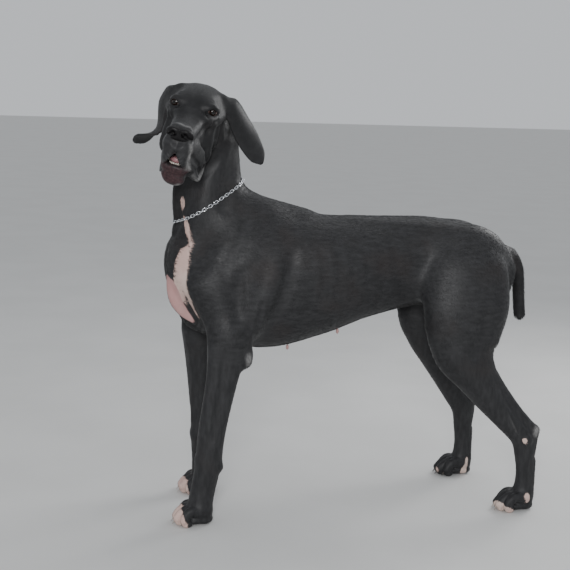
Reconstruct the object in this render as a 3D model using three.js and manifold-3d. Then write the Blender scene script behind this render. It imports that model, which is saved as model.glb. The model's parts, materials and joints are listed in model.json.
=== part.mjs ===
// A great dane bitch standing still, life size, her head turned to her left.
// Millimetres. She faces -X, her left side is -Y and up is +Z.
// Places are first given in the stance frame: x runs back from a point midway
// between the front paws, y to her right and z up from the floor. At the end the
// whole dog is moved so that the origin is the middle of the base of her box.

import * as THREE from 'three';
import { mergeVertices } from 'three/addons/utils/BufferGeometryUtils.js';
import Module from 'manifold-3d';

const wasm = await Module();
wasm.setup();

const { sin, cos, abs, min, max, hypot, sqrt, PI } = Math;
const degrees = PI / 180;

// Driving sizes
const GAP = 0.3; // left between two pieces that touch
const LEFT = -1; // sign of y on each side of the dog
const RIGHT = 1;
const WITHERS = 772; // height of the line of the back over the shoulders
const BACK = 734; // height of the back behind them
const BRISKET = 406; // lowest point of the chest
const TUCK = 500; // height of the belly in front of the thighs
const CHEST_HALF = 122; // half the width of the ribs
const LOIN_HALF = 84;

// The far legs stand further back in front, and further forward behind.
const FORE = {
  [LEFT]: { y: -106, elbow: 58, foot: 2 },
  [RIGHT]: { y: 104, elbow: 28, foot: 44 },
};
const HIND = {
  [LEFT]: { y: -138, stifle: 645, foot: 828 },
  [RIGHT]: { y: 136, stifle: 648, foot: 772 },
};

const FORE_PAW = { length: 60, half: 37, heel: 30 };
const HIND_PAW = { length: 68, half: 33, heel: 26 };

// The head has a frame of its own: x along the muzzle, y to her left, z up,
// from the point midway between the eyes.
const HEAD = { eyes: [-36, -140, 989], heading: -109.6, pitch: 12, roll: 13.8 };
const EYE = { back: 10, apart: 80, radius: 12.6, turn: 24 };
const MUZZLE = { length: 128, half: 36 };
const JAW = { tip: 106, lip: -98, under: -156, half: 29 };
const EAR = { width: 76, thick: 4.4 };

const COLLAR = { links: 30, wire: 1.7, half: 5.2, back: [104, 0, 818], front: [-58, 0, 716] };
const CLAW = { length: 17, half: 4.2 };

// Length of a grid cell in each region, in millimetres
const CELL = {
  torso: 32, neck: 26, leg: 19.5, paw: 13, tail: 15, head: 11.8, jaw: 12, nose: 8.5, tongue: 10,
};

const COAT = { color: 0x1d1d20, roughness: 0.52, metalness: 0 };
const SKIN = { color: 0x6f5560, roughness: 0.5, metalness: 0 };
const NOSE = { color: 0x17151a, roughness: 0.35, metalness: 0 };
const EYES = { color: 0x2a1a12, roughness: 0.08, metalness: 0 };
const STEEL = { color: 0xc9ccd0, roughness: 0.25, metalness: 1 };

// Forms: closed soft shapes given by their distance from a point, negative inside

// Value at t between b and c on the smooth line through a, b, c and d.
function glide(a, b, c, d, t) {
  const lean = 0.5 * (c - a);
  const leave = 0.5 * (d - b);
  return ((2 * (b - c) + lean + leave) * t + (3 * (c - b) - 2 * lean - leave)) * t * t + lean * t + b;
}

// Oval sections strung along a smooth line. A row is x, y, z, then the half
// size over the line (towards "up"), under it and to each side of it.
class Limb {
  constructor(rows, { up, square = 2, caps = [0.8, 0.8], steps = 6 }) {
    this.square = square;
    this.samples = [];
    const hint = new THREE.Vector3(...up);
    const last = rows.length - 1;
    for (let i = 0; i < last; i++) {
      const around = [rows[max(i - 1, 0)], rows[i], rows[i + 1], rows[min(i + 2, last)]];
      for (let j = 0; j < steps; j++) {
        this.samples.push(rows[0].map((_, k) => glide(...around.map((row) => row[k]), j / steps)));
      }
    }
    this.samples.push([...rows[last]]);
    const count = this.samples.length;
    for (let i = 0; i < count; i++) {
      const from = this.samples[max(i - 1, 0)];
      const to = this.samples[min(i + 1, count - 1)];
      const along = new THREE.Vector3(to[0] - from[0], to[1] - from[1], to[2] - from[2]).normalize();
      const over = hint.clone().addScaledVector(along, -hint.dot(along)).normalize();
      const side = new THREE.Vector3().crossVectors(along, over);
      this.samples[i].push(...along, ...over, ...side);
    }
    const end = (row) => 0.5 * (row[3] + row[4]);
    this.caps = [caps[0] * end(rows[0]), caps[1] * end(rows[last])];
    this.bounds = new THREE.Box3();
    for (const s of this.samples) {
      const reach = max(s[3], s[4], s[5], this.caps[0], this.caps[1]);
      const at = new THREE.Vector3(s[0], s[1], s[2]);
      this.bounds.expandByPoint(at.clone().addScalar(reach)).expandByPoint(at.subScalar(reach));
    }
  }

  distance(x, y, z) {
    let best = Infinity;
    let at = 0;
    let part = 0;
    for (let i = 0; i < this.samples.length - 1; i++) {
      const a = this.samples[i];
      const b = this.samples[i + 1];
      const [dx, dy, dz] = [b[0] - a[0], b[1] - a[1], b[2] - a[2]];
      const run = (x - a[0]) * dx + (y - a[1]) * dy + (z - a[2]) * dz;
      const t = min(max(run / (dx * dx + dy * dy + dz * dz), 0), 1);
      const far = (x - a[0] - t * dx) ** 2 + (y - a[1] - t * dy) ** 2 + (z - a[2] - t * dz) ** 2;
      if (far < best) [best, at, part] = [far, i, t];
    }
    const a = this.samples[at];
    const b = this.samples[at + 1];
    const mix = (k) => a[k] + (b[k] - a[k]) * part;
    const [qx, qy, qz] = [x - mix(0), y - mix(1), z - mix(2)];
    const along = qx * mix(6) + qy * mix(7) + qz * mix(8);
    const over = qx * mix(9) + qy * mix(10) + qz * mix(11);
    const side = qx * mix(12) + qy * mix(13) + qz * mix(14);
    const high = over > 0 ? mix(3) : mix(4);
    const wide = mix(5);
    const m = this.square;
    const [u, s] = [abs(over) / high, abs(side) / wide];
    const section = m === 2 ? hypot(u, s) : (u ** m + s ** m) ** (1 / m);
    const first = at === 0 && part === 0;
    const final = at === this.samples.length - 2 && part === 1;
    const cap = first ? this.caps[0] : this.caps[1];
    const w = first || final ? abs(along) / cap : 0;
    const whole = hypot(section, w);
    if (whole < 1e-4) return -min(high, wide);
    const keep = section > 1e-6 ? section ** (2 - m) / whole : 0;
    const slope = hypot((keep * u ** (m - 1)) / high, (keep * s ** (m - 1)) / wide, w / whole / cap);
    return (whole - 1) / max(slope, 1e-6);
  }
}

// A single oval swelling with its three half sizes, turned by angles in degrees.
class Swelling {
  constructor(at, half, { turn = [0, 0, 0] } = {}) {
    this.at = at;
    this.half = half;
    const spin = new THREE.Euler(...turn.map((angle) => angle * degrees), 'ZYX');
    this.inverse = new THREE.Matrix4().makeRotationFromEuler(spin).transpose().elements;
    const reach = max(...half);
    const middle = new THREE.Vector3(...at);
    this.bounds = new THREE.Box3(middle.clone().subScalar(reach), middle.clone().addScalar(reach));
  }

  distance(x, y, z) {
    const [px, py, pz] = [x - this.at[0], y - this.at[1], z - this.at[2]];
    const e = this.inverse;
    const [a, b, c] = this.half;
    const u = e[0] * px + e[4] * py + e[8] * pz;
    const v = e[1] * px + e[5] * py + e[9] * pz;
    const w = e[2] * px + e[6] * py + e[10] * pz;
    const whole = hypot(u / a, v / b, w / c);
    if (whole < 1e-4) return -min(a, b, c);
    return ((whole - 1) * whole) / hypot(u / a / a, v / b / b, w / c / c);
  }
}

const limb = (blend, rows, options) => ({ blend, form: new Limb(rows, options) });
const swelling = (blend, at, half, options) => ({ blend, form: new Swelling(at, half, options) });
const hollow = (piece) => ({ ...piece, hollow: true });

const REACH = 60; // a form further off than this is passed over

// A group of forms melted into one another, in a frame of its own.
class Flesh {
  constructor(pieces, matrix = new THREE.Matrix4()) {
    this.pieces = pieces;
    this.matrix = matrix;
    this.inverse = matrix.clone().invert().elements;
    for (const { form } of pieces) form.bounds.expandByScalar(REACH);
  }

  add(x0, y0, z0, start) {
    const e = this.inverse;
    const x = e[0] * x0 + e[4] * y0 + e[8] * z0 + e[12];
    const y = e[1] * x0 + e[5] * y0 + e[9] * z0 + e[13];
    const z = e[2] * x0 + e[6] * y0 + e[10] * z0 + e[14];
    let value = start;
    for (const { form, blend, hollow: cut } of this.pieces) {
      const { min: low, max: high } = form.bounds;
      if (x < low.x || x > high.x || y < low.y || y > high.y) continue;
      if (z < low.z || z > high.z) continue;
      const other = form.distance(x, y, z);
      const near = max(blend - abs(cut ? value + other : value - other), 0) / blend;
      const melt = (near * near * blend) / 4;
      value = cut ? max(value, -other) + melt : min(value, other) - melt;
    }
    return value;
  }
}

const fieldOf = (...groups) => (x, y, z) => groups.reduce((value, group) => group.add(x, y, z, value), REACH);

// The body

const backwards = { up: [1, 0, 0] };

function trunk() {
  const rib = CHEST_HALF;
  const spine = [
    [-18, 0, 612, 78, 92, 0.62 * rib],
    [40, 0, 606, 122, 168, 0.84 * rib],
    [112, 0, 604, WITHERS - 616, 596 - BRISKET, 0.95 * rib],
    [200, 0, 600, 153, 595 - BRISKET, rib],
    [300, 0, 602, BACK - 598, 163, 0.99 * rib],
    [400, 0, 612, BACK - 612, 136, 0.88 * rib],
    [500, 0, 622, BACK - 622, 622 - TUCK, LOIN_HALF + 3],
    [590, 0, 622, BACK - 625, 112, LOIN_HALF],
    [670, 0, 606, 102, 96, LOIN_HALF + 4],
    [740, 0, 590, 90, 84, LOIN_HALF - 8],
    [784, 0, 578, 68, 62, 54],
  ];
  const pieces = [
    limb(30, spine, { up: [0, 0, 1], square: 2.25, caps: [0.55, 0.35] }),
    limb(46, [
      [70, 0, 742, 24, 40, 30],
      [150, 0, 748, 23, 40, 30],
      [250, 0, 722, 20, 40, 32],
    ], { up: [0, 0, 1] }),
    swelling(40, [-24, 0, 622], [46, 64, 74]),
    swelling(40, [-4, 0, 528], [43, 50, 72]),
  ];
  for (const side of [LEFT, RIGHT]) {
    const blade = [
      [148, 46 * side, 728, 44, 44, 22],
      [84, 80 * side, 650, 54, 54, 28],
      [14, 84 * side, 572, 42, 44, 32],
    ];
    const triceps = [
      [150, 78 * side, 640, 52, 52, 24],
      [112, 96 * side, 550, 54, 54, 29],
      [82, 101 * side, 462, 40, 42, 28],
    ];
    const upperArm = [
      [8, 82 * side, 575, 38, 38, 32],
      [40, 96 * side, 500, 40, 38, 30],
      [60, 102 * side, 440, 40, 36, 29],
    ];
    const haunch = [
      [690, 66 * side, 650, 70, 80, 40],
      [668, 90 * side, 560, 96, 112, 46],
    ];
    pieces.push(limb(44, blade, backwards), limb(44, triceps, backwards));
    pieces.push(limb(36, upperArm, backwards), limb(36, haunch, backwards));
  }
  return new Flesh(pieces);
}

function throat() {
  return new Flesh([
    limb(34, [
      [0, -34, 985, 54, 52, 54],
      [14, -16, 930, 72, 62, 60],
      [20, -4, 868, 76, 74, 66],
      [24, 0, 800, 84, 84, 72],
      [46, 0, 725, 104, 100, 84],
      [84, 0, 650, 100, 110, 90],
    ], { up: [1, 0, 0] }),
  ]);
}

// One front leg from the upper arm to the pastern, and the paw under it.
function foreleg(side) {
  const { y, elbow, foot } = FORE[side];
  const down = (share) => elbow + (foot - elbow) * share;
  const rows = [
    [down(-0.12), y + 2 * side, 470, 44, 46, 32],
    [down(0), y, 426, 47, 47, 35],
    [down(0.2), y, 356, 38, 36, 32],
    [down(0.5), y, 262, 34, 32, 27],
    [down(0.66), y, 182, 30, 31, 29],
    [down(0.72), y, 142, 31, 31, 30],
    [down(0.88), y, 90, 28, 30, 27],
    [down(1), y, 42, 30, 32, 30],
  ];
  return new Flesh([
    limb(20, rows, { up: [1, 0, 0] }),
    swelling(16, [elbow + 50, y + 2 * side, 402], [18, 15, 22]),
    swelling(12, [down(0.72) + 26, y, 140], [13, 14, 15]),
    ...paw(foot, y, FORE_PAW),
  ]);
}

function hindleg(side) {
  const { y, stifle, foot } = HIND[side];
  const back = (share) => stifle + (foot - stifle) * share;
  const out = (share) => (y - 98 * side) * share + 98 * side;
  const rows = [
    [672, 92 * side, 590, 90, 104, 48],
    [664, out(0.1), 520, 97, 116, 54],
    [652, out(0.15), 455, 92, 98, 52],
    [stifle + 8, out(0.2), 402, 84, 72, 47],
    [back(0.22), out(0.35), 345, 62, 50, 39],
    [back(0.44), out(0.5), 290, 46, 38, 32],
    [back(0.7), out(0.75), 238, 38, 33, 26],
    [back(0.93), out(0.9), 190, 34, 30, 24],
    [back(0.99), out(1), 140, 25, 27, 20],
    [back(1.01), out(1), 90, 23, 24, 19],
    [back(1.0), out(1), 46, 26, 27, 24],
  ];
  const tendon = [
    [back(0.48), out(0.5), 345, 15, 15, 14],
    [back(0.84), out(0.8), 258, 14, 14, 13],
    [back(1.08), out(0.95), 208, 15, 14, 14],
  ];
  const heelBone = [
    [back(1.11), out(0.95), 206, 14, 14, 13],
    [back(1.05), out(1), 150, 14, 14, 13],
  ];
  return new Flesh([
    limb(24, rows, { up: [1, 0, 0.55] }),
    limb(14, tendon, { up: [1, 0, 0.5] }),
    limb(12, heelBone, backwards),
    ...paw(foot, y, HIND_PAW),
  ]);
}

// Four arched toes over their pads, with a broad pad behind them.
function paw(foot, y, { length, half, heel }) {
  const pieces = [
    swelling(10, [foot - 6, y, 34], [30, half - 5, 24]),
    swelling(8, [foot + heel - 22, y, 12], [24, half - 10, 14]),
  ];
  for (const toe of toes(foot, y, { length, half })) {
    const { spread, tip, knuckle } = toe;
    pieces.push(
      limb(7, [
        [foot - 2, y + 0.7 * spread, 34, 14, 14, 13],
        [foot - knuckle, y + 0.9 * spread, 37, 13, 14, 12.5],
        [foot - tip + 12, y + spread, 17, 13, 14, 12],
      ], { up: [0, 0, 1], caps: [1, 0.9] }),
      swelling(5, [foot - tip + 16, y + spread, 9], [14, 10.5, 11]),
    );
  }
  return pieces;
}

// Where each toe lies: its spread to the side, and its tip and knuckle forward of the leg.
function toes(foot, y, { length, half }) {
  return [-1, -0.36, 0.36, 1].map((share) => {
    const inner = 1 - abs(share);
    return {
      spread: share * (half - 9),
      tip: length - 15 * (1 - inner * 1.5),
      knuckle: 0.5 * length - 8 * (1 - inner),
    };
  });
}

function tail() {
  return new Flesh([
    limb(20, [
      [770, 0, 642, 24, 30, 26],
      [806, 0, 634, 20, 24, 21],
      [832, 0, 604, 15, 17, 17],
      [840, 0, 560, 13.5, 14, 14.5],
      [845, 0, 515, 14, 14, 14],
      [850, 0, 482, 14, 15, 13],
    ], { up: [1, 0, 1], caps: [0.8, 1] }),
  ]);
}

// The head

function headMatrix() {
  const { eyes, heading, pitch, roll } = HEAD;
  const turn = new THREE.Matrix4().makeRotationZ(heading * degrees);
  const nod = new THREE.Matrix4().makeRotationY(pitch * degrees);
  const tilt = new THREE.Matrix4().makeRotationX(-roll * degrees);
  return turn.multiply(nod).multiply(tilt).setPosition(...eyes);
}

const headPlace = headMatrix();
const upwards = { up: [0, 0, 1] };

function skull() {
  const { length, half } = MUZZLE;
  const pieces = [
    limb(14, [
      [-136, 0, -2, 20, 34, 30],
      [-104, 0, -4, 36, 50, 50],
      [-60, 0, -5, 40, 54, 57],
      [-20, 0, -6, 36, 42, 52],
      [12, 0, -16, 23, 30, 38],
    ], { ...upwards, square: 2.4 }),
    limb(18, [
      [4, 0, -42, 32, 34, 36],
      [44, 0, -42, 31, 34, half - 1],
      [84, 0, -44, 30, 32, half - 4],
      [length - 16, 0, -44, 28, 28, half - 7],
    ], { ...upwards, square: 3, caps: [0.5, 0.4] }),
    limb(20, [
      [-74, 0, -56, 40, 46, 44],
      [-24, 0, -62, 40, 46, 38],
      [22, 0, -64, 30, 30, 33],
    ], upwards),
    hollow(limb(6, [
      [length + 16, 0, -90, 16, 44, 12],
      [96, 0, -96, 24, 44, 24],
      [44, 0, -100, 24, 40, 25],
      [20, 0, -104, 14, 30, 22],
    ], { ...upwards, square: 2.4, caps: [0.3, 0.3] })),
  ];
  for (const side of [-1, 1]) {
    pieces.push(
      swelling(14, [-6, 31 * side, 17], [22, 16, 11], { turn: [0, 0, 24 * side] }),
      limb(14, [
        [4, 44 * side, -24, 9, 10, 9],
        [-36, 58 * side, -20, 12, 13, 10],
        [-84, 58 * side, -6, 12, 13, 9],
      ], upwards),
      swelling(18, [-56, 46 * side, -58], [42, 20, 46], { turn: [0, -12, -6 * side] }),
      swelling(16, [-82, 50 * side, 2], [22, 16, 22]),
      limb(10, [
        [length - 5, 9 * side, -60, 13, 14, 10],
        [length - 12, 19 * side, -70, 24, 28, 10],
        [88, 26 * side, -84, 32, 31, 10],
        [52, 31 * side, -88, 32, 30, 10],
        [20, 36 * side, -86, 28, 28, 9],
        [-8, 38 * side, -78, 20, 26, 9],
      ], { ...upwards, caps: [0.5, 0.5] }),
    );
  }
  return new Flesh(pieces, headPlace);
}

// The pad of the nose with its two nostrils, set into the end of the muzzle.
function nosePad() {
  const { length } = MUZZLE;
  const pieces = [
    limb(4, [
      [length - 18, 0, -29, 14, 15, 20],
      [length - 8, 0, -29, 16, 17, 27],
      [length + 1, 0, -30, 14, 15, 23],
    ], { ...upwards, square: 2.6, caps: [0.3, 0.4] }),
  ];
  for (const side of [-1, 1]) {
    const turn = [20 * side, 0, 34 * side];
    pieces.push(hollow(swelling(3, [length + 5, 13 * side, -29], [12, 6.5, 5.5], { turn })));
  }
  return new Flesh(pieces, headPlace);
}

// The lower jaw from its chin to the angle of the mouth.
function mandible() {
  const { tip, lip, under, half } = JAW;
  const pieces = [
    limb(14, [
      [tip - 18, 0, 0.5 * (lip + under), 22, 28, half],
      [tip - 50, 0, -122, 20, 26, half - 1],
      [24, 0, -108, 18, 24, half],
      [-24, 0, -96, 18, 26, half + 3],
    ], { ...upwards, square: 2.3, caps: [0.66, 0.2] }),
    hollow(limb(5, [
      [tip - 26, 0, lip + 8, 10, 11, 14],
      [40, 0, -88, 12, 10, 15],
      [0, 0, -78, 12, 10, 14],
    ], upwards)),
  ];
  for (const side of [-1, 1]) {
    pieces.push(limb(8, [
      [tip - 6, 7 * side, lip - 6, 7, 12, 8],
      [tip - 14, 20 * side, lip - 7, 7, 14, 8],
      [tip - 40, 25 * side, lip - 5, 7, 12, 6],
    ], upwards));
  }
  return new Flesh(pieces, headPlace);
}

// Surfaces: a closed net of triangles drawn over a field on a grid of cubes

const CORNERS = [0, 1, 2, 3, 4, 5, 6, 7].map((n) => [n & 1, (n >> 1) & 1, n >> 2]);
const EDGES = [];
for (let axis = 0; axis < 3; axis++) {
  for (let n = 0; n < 8; n++) if (!CORNERS[n][axis]) EDGES.push({ axis, from: n, to: n | (1 << axis) });
}
const FACES = [];
for (let axis = 0; axis < 3; axis++) {
  for (const level of [0, 1]) {
    const inFace = (n) => CORNERS[n][axis] === level;
    FACES.push({
      edges: EDGES.map((_, e) => e).filter((e) => inFace(EDGES[e].from) && inFace(EDGES[e].to)),
      corners: [0, 1, 2, 3, 4, 5, 6, 7].filter(inFace),
    });
  }
}

// Which sheet of the surface each crossed edge of a cube belongs to.
function sheetsOf(inside) {
  const sheet = EDGES.map((edge, e) => (inside[edge.from] !== inside[edge.to] ? e : -1));
  const join = (a, b) => {
    const [keep, drop] = [min(sheet[a], sheet[b]), max(sheet[a], sheet[b])];
    for (let e = 0; e < 12; e++) if (sheet[e] === drop) sheet[e] = keep;
  };
  for (const face of FACES) {
    const crossed = face.edges.filter((e) => sheet[e] >= 0);
    if (crossed.length === 2) join(...crossed);
    if (crossed.length === 4) {
      for (const corner of face.corners.filter((n) => inside[n])) {
        join(...crossed.filter((e) => EDGES[e].from === corner || EDGES[e].to === corner));
      }
    }
  }
  return sheet;
}

function slopeOf(field, x, y, z) {
  const h = 0.5;
  return [
    (field(x + h, y, z) - field(x - h, y, z)) / (2 * h),
    (field(x, y + h, z) - field(x, y - h, z)) / (2 * h),
    (field(x, y, z + h) - field(x, y, z - h)) / (2 * h),
  ];
}

// Moves a point onto the surface, no further than one cell.
function settle(field, point, reach) {
  for (let pass = 0; pass < 3; pass++) {
    const value = field(...point);
    const slope = slopeOf(field, ...point);
    const steep = max(slope[0] ** 2 + slope[1] ** 2 + slope[2] ** 2, 0.05);
    for (let k = 0; k < 3; k++) point[k] -= min(max((value * slope[k]) / steep, -reach), reach);
  }
}

function netOver(field, low, high, cell) {
  const count = low.map((v, k) => Math.ceil((high[k] - v) / cell) + 1);
  const node = (i, j, k) => (k * count[1] + j) * count[0] + i;
  const value = new Float32Array(count[0] * count[1] * count[2]);
  for (let k = 0; k < count[2]; k++) {
    for (let j = 0; j < count[1]; j++) {
      for (let i = 0; i < count[0]; i++) {
        value[node(i, j, k)] = field(low[0] + i * cell, low[1] + j * cell, low[2] + k * cell);
      }
    }
  }
  const points = [];
  const slots = new Map();
  const inner = (...cube) => cube.every((v, axis) => v >= 0 && v < count[axis] - 1);
  for (let k = 0; k < count[2] - 1; k++) {
    for (let j = 0; j < count[1] - 1; j++) {
      for (let i = 0; i < count[0] - 1; i++) {
        const corner = CORNERS.map(([a, b, c]) => value[node(i + a, j + b, k + c)]);
        const inside = corner.map((v) => v < 0);
        if (inside.every((v) => v === inside[0])) continue;
        const sheet = sheetsOf(inside);
        for (const name of new Set(sheet.filter((s) => s >= 0))) {
          const mean = [0, 0, 0];
          const members = sheet.map((s, e) => (s === name ? e : -1)).filter((e) => e >= 0);
          for (const e of members) {
            const { axis, from, to } = EDGES[e];
            const share = corner[from] / (corner[from] - corner[to]);
            CORNERS[from].forEach((c, a) => (mean[a] += (c + (a === axis ? share : 0)) / members.length));
            slots.set(node(i, j, k) * 12 + e, points.length);
          }
          points.push([i, j, k].map((v, a) => low[a] + (v + mean[a]) * cell));
        }
      }
    }
  }
  const quads = [];
  const turns = [[1, 2], [2, 0], [0, 1]];
  for (let k = 0; k < count[2]; k++) {
    for (let j = 0; j < count[1]; j++) {
      for (let i = 0; i < count[0]; i++) {
        for (let axis = 0; axis < 3; axis++) {
          const at = [i, j, k];
          const next = [...at];
          next[axis] += 1;
          if (next[axis] >= count[axis]) continue;
          const here = value[node(...at)] < 0;
          if (here === value[node(...next)] < 0) continue;
          const [u, v] = turns[axis];
          const ring = [[0, 0], [1, 0], [1, 1], [0, 1]].map(([a, b]) => {
            const cube = [...at];
            cube[u] -= a;
            cube[v] -= b;
            const corner = (a << u) | (b << v);
            const e = EDGES.findIndex((edge) => edge.axis === axis && edge.from === corner);
            return inner(...cube) ? slots.get(node(...cube) * 12 + e) : undefined;
          });
          if (ring.includes(undefined)) throw new Error('a form leaves its box');
          quads.push(here ? ring : ring.reverse());
        }
      }
    }
  }
  return { points, quads };
}

function relax(points, quads, share) {
  const sums = points.map(() => [0, 0, 0, 0]);
  for (const ring of quads) {
    ring.forEach((a, n) => {
      for (const b of [ring[(n + 1) % 4], ring[(n + 3) % 4]]) {
        for (let k = 0; k < 3; k++) sums[a][k] += points[b][k];
        sums[a][3] += 1;
      }
    });
  }
  sums.forEach((sum, n) => {
    for (let k = 0; k < 3; k++) points[n][k] += share * (sum[k] / sum[3] - points[n][k]);
  });
}

function trianglesOf(points, quads) {
  const apart = (a, b) => hypot(...points[a].map((v, k) => v - points[b][k]));
  return quads.flatMap(([a, b, c, d]) => {
    return apart(a, c) <= apart(b, d) ? [a, b, c, a, c, d] : [a, b, d, b, c, d];
  });
}

function solidFrom(points, triangles) {
  const mesh = new wasm.Mesh({
    numProp: 3,
    vertProperties: Float32Array.from(points.flat()),
    triVerts: Uint32Array.from(triangles),
  });
  return new wasm.Manifold(mesh);
}

// The solid of a field inside a box; the grid is nudged where it meets itself at an edge.
function solidOf(field, low, high, cell) {
  const boxed = (...at) => max(field(...at), ...at.map((v, k) => max(low[k] - v, v - high[k])));
  const roof = high.map((v) => v + 2 * cell);
  for (let attempt = 0; attempt < 8; attempt++) {
    const ground = low.map((v, k) => v - cell * (1 + attempt * 0.13 * (1 + 0.3 * k)));
    const { points, quads } = netOver(boxed, ground, roof, cell);
    for (let pass = 0; pass < 2; pass++) {
      relax(points, quads, 0.5);
      for (const point of points) settle(boxed, point, 0.5 * cell);
    }
    try {
      return largest(solidFrom(points, trianglesOf(points, quads)));
    } catch (error) {
      if (attempt === 7) throw error;
    }
  }
  return null;
}

function largest(solid) {
  const pieces = solid.decompose();
  return pieces.reduce((best, piece) => (piece.volume() > best.volume() ? piece : best));
}

// Solids: joins and cuts

function solidFromGeometry(geometry, matrix = new THREE.Matrix4()) {
  const bare = geometry.clone();
  bare.deleteAttribute('normal');
  bare.deleteAttribute('uv');
  const merged = mergeVertices(bare, 1e-4).applyMatrix4(matrix);
  const place = merged.getAttribute('position');
  const points = Array.from({ length: place.count }, (_, n) => [place.getX(n), place.getY(n), place.getZ(n)]);
  return solidFrom(points, Array.from(merged.index.array));
}

// Everything on the side of a plane that its normal points to.
function beyond(point, normal) {
  const size = 2400;
  const upright = new THREE.Vector3(0, 0, 1);
  const facing = new THREE.Quaternion().setFromUnitVectors(upright, new THREE.Vector3(...normal).normalize());
  const shift = new THREE.Vector3(0, 0, size / 2).applyQuaternion(facing).add(new THREE.Vector3(...point));
  const matrix = new THREE.Matrix4().makeRotationFromQuaternion(facing).setPosition(shift);
  return solidFromGeometry(new THREE.BoxGeometry(size, size, size), matrix);
}

function geometryOf(solid) {
  const mesh = solid.getMesh();
  const geometry = new THREE.BufferGeometry();
  const places = new Float32Array(mesh.numVert * 3);
  for (let n = 0; n < mesh.numVert; n++) {
    const start = n * mesh.numProp;
    places.set(mesh.vertProperties.slice(start, start + 3), n * 3);
  }
  geometry.setAttribute('position', new THREE.BufferAttribute(places, 3));
  geometry.setIndex(Array.from(mesh.triVerts));
  geometry.computeVertexNormals();
  return geometry;
}

// The same solid grown outwards by a little, to cut a seat that keeps the gap.
function grown(solid, by) {
  const geometry = geometryOf(solid);
  const place = geometry.getAttribute('position');
  const normal = geometry.getAttribute('normal');
  for (let n = 0; n < 3 * place.count; n++) place.array[n] += by * normal.array[n];
  geometry.deleteAttribute('normal');
  return solidFromGeometry(geometry);
}

// The dog, node by node

const trunkFlesh = trunk();
const throatFlesh = throat();
const skullFlesh = skull();
const jawFlesh = mandible();
const tailFlesh = tail();
const foreFlesh = { [LEFT]: foreleg(LEFT), [RIGHT]: foreleg(RIGHT) };
const hindFlesh = { [LEFT]: hindleg(LEFT), [RIGHT]: hindleg(RIGHT) };
const inHead = (x, y, z) => new THREE.Vector3(x, y, z).applyMatrix4(headPlace).toArray();
const turnInHead = (x, y, z) => new THREE.Vector3(x, y, z).transformDirection(headPlace).toArray();

const NECK_CUT = { at: [24, 0, 762], normal: [-0.42, 0, 0.908] };
const HEAD_CUT = { at: inHead(-78, 0, -30), normal: turnInHead(0.86, 0, 0.5) };
const foreCut = (side) => ({ at: [60, 58 * side, 430], normal: [0, 0.5 * side, -0.86] });
const foreInner = (side) => ({ at: [60, 56 * side, 430], normal: [0, side, 0] });
const hindCut = (side) => ({ at: [650, 16 * side, 502], normal: [0, 0.5 * side, -0.86] });
const ARMPIT = 138; // the front legs' cuts end here
const FLANK = 512; // the hind legs' cuts start here
const PASTERN = 60; // height of the cut over each paw

// Half of the gap is taken off each side of a cut.
const kept = ({ at, normal }) => beyond(at.map((v, k) => v + 0.5 * GAP * normal[k]), normal);
const removed = ({ at, normal }) => beyond(at.map((v, k) => v - 0.5 * GAP * normal[k]), normal);

const floor = beyond([0, 0, 0], [0, 0, 1]);

function legNodes(side, { flesh, cuts, box, footBox }) {
  const field = fieldOf(trunkFlesh, flesh);
  let leg = solidOf(field, ...box, CELL.leg);
  for (const cut of cuts) leg = leg.intersect(kept(cut));
  leg = largest(leg.intersect(kept({ at: [0, 0, PASTERN], normal: [0, 0, 1] })));
  let foot = solidOf(fieldOf(flesh), ...footBox, CELL.paw);
  foot = foot.intersect(kept({ at: [0, 0, PASTERN], normal: [0, 0, -1] })).intersect(floor);
  return { leg, foot };
}

const nodes = {};
const legFlesh = [foreFlesh[LEFT], foreFlesh[RIGHT], hindFlesh[LEFT], hindFlesh[RIGHT]];
const fullBody = fieldOf(trunkFlesh, throatFlesh, ...legFlesh);
let torso = solidOf(fullBody, [-140, -230, 250], [920, 230, 900], CELL.torso);
const half = (side, a, b) => (side < 0 ? [-b, -a] : [a, b]);
const boxRound = ({ foot, y }) => [[foot - 120, y - 70, -30], [foot + 80, y + 70, 100]];

for (const side of [LEFT, RIGHT]) {
  const name = side === LEFT ? 'left' : 'right';
  const [foreLow, foreHigh] = half(side, 20, 190);
  const [hindLow, hindHigh] = half(side, -30, 210);
  const fore = legNodes(side, {
    flesh: foreFlesh[side],
    cuts: [foreCut(side), foreInner(side)],
    box: [[-90, foreLow, 30], [ARMPIT - GAP, foreHigh, 560]],
    footBox: boxRound(FORE[side]),
  });
  const hind = legNodes(side, {
    flesh: hindFlesh[side],
    cuts: [hindCut(side)],
    box: [[FLANK + GAP, hindLow, 30], [930, hindHigh, 640]],
    footBox: boxRound(HIND[side]),
  });
  const foreSpace = removed(foreCut(side)).intersect(removed(foreInner(side)));
  const hindSpace = removed(hindCut(side)).intersect(beyond([0, 0, 0], [0, side, 0]));
  torso = torso.subtract(foreSpace.intersect(beyond([ARMPIT, 0, 0], [-1, 0, 0])));
  torso = torso.subtract(hindSpace.intersect(beyond([FLANK, 0, 0], [1, 0, 0])));
  nodes[`foreleg_${name}`] = fore.leg;
  nodes[`forepaw_${name}`] = withClaws(fore.foot, toes(FORE[side].foot, FORE[side].y, FORE_PAW), FORE[side]);
  nodes[`hindleg_${name}`] = hind.leg;
  nodes[`hindpaw_${name}`] = withClaws(hind.foot, toes(HIND[side].foot, HIND[side].y, HIND_PAW), HIND[side]);
}

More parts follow.
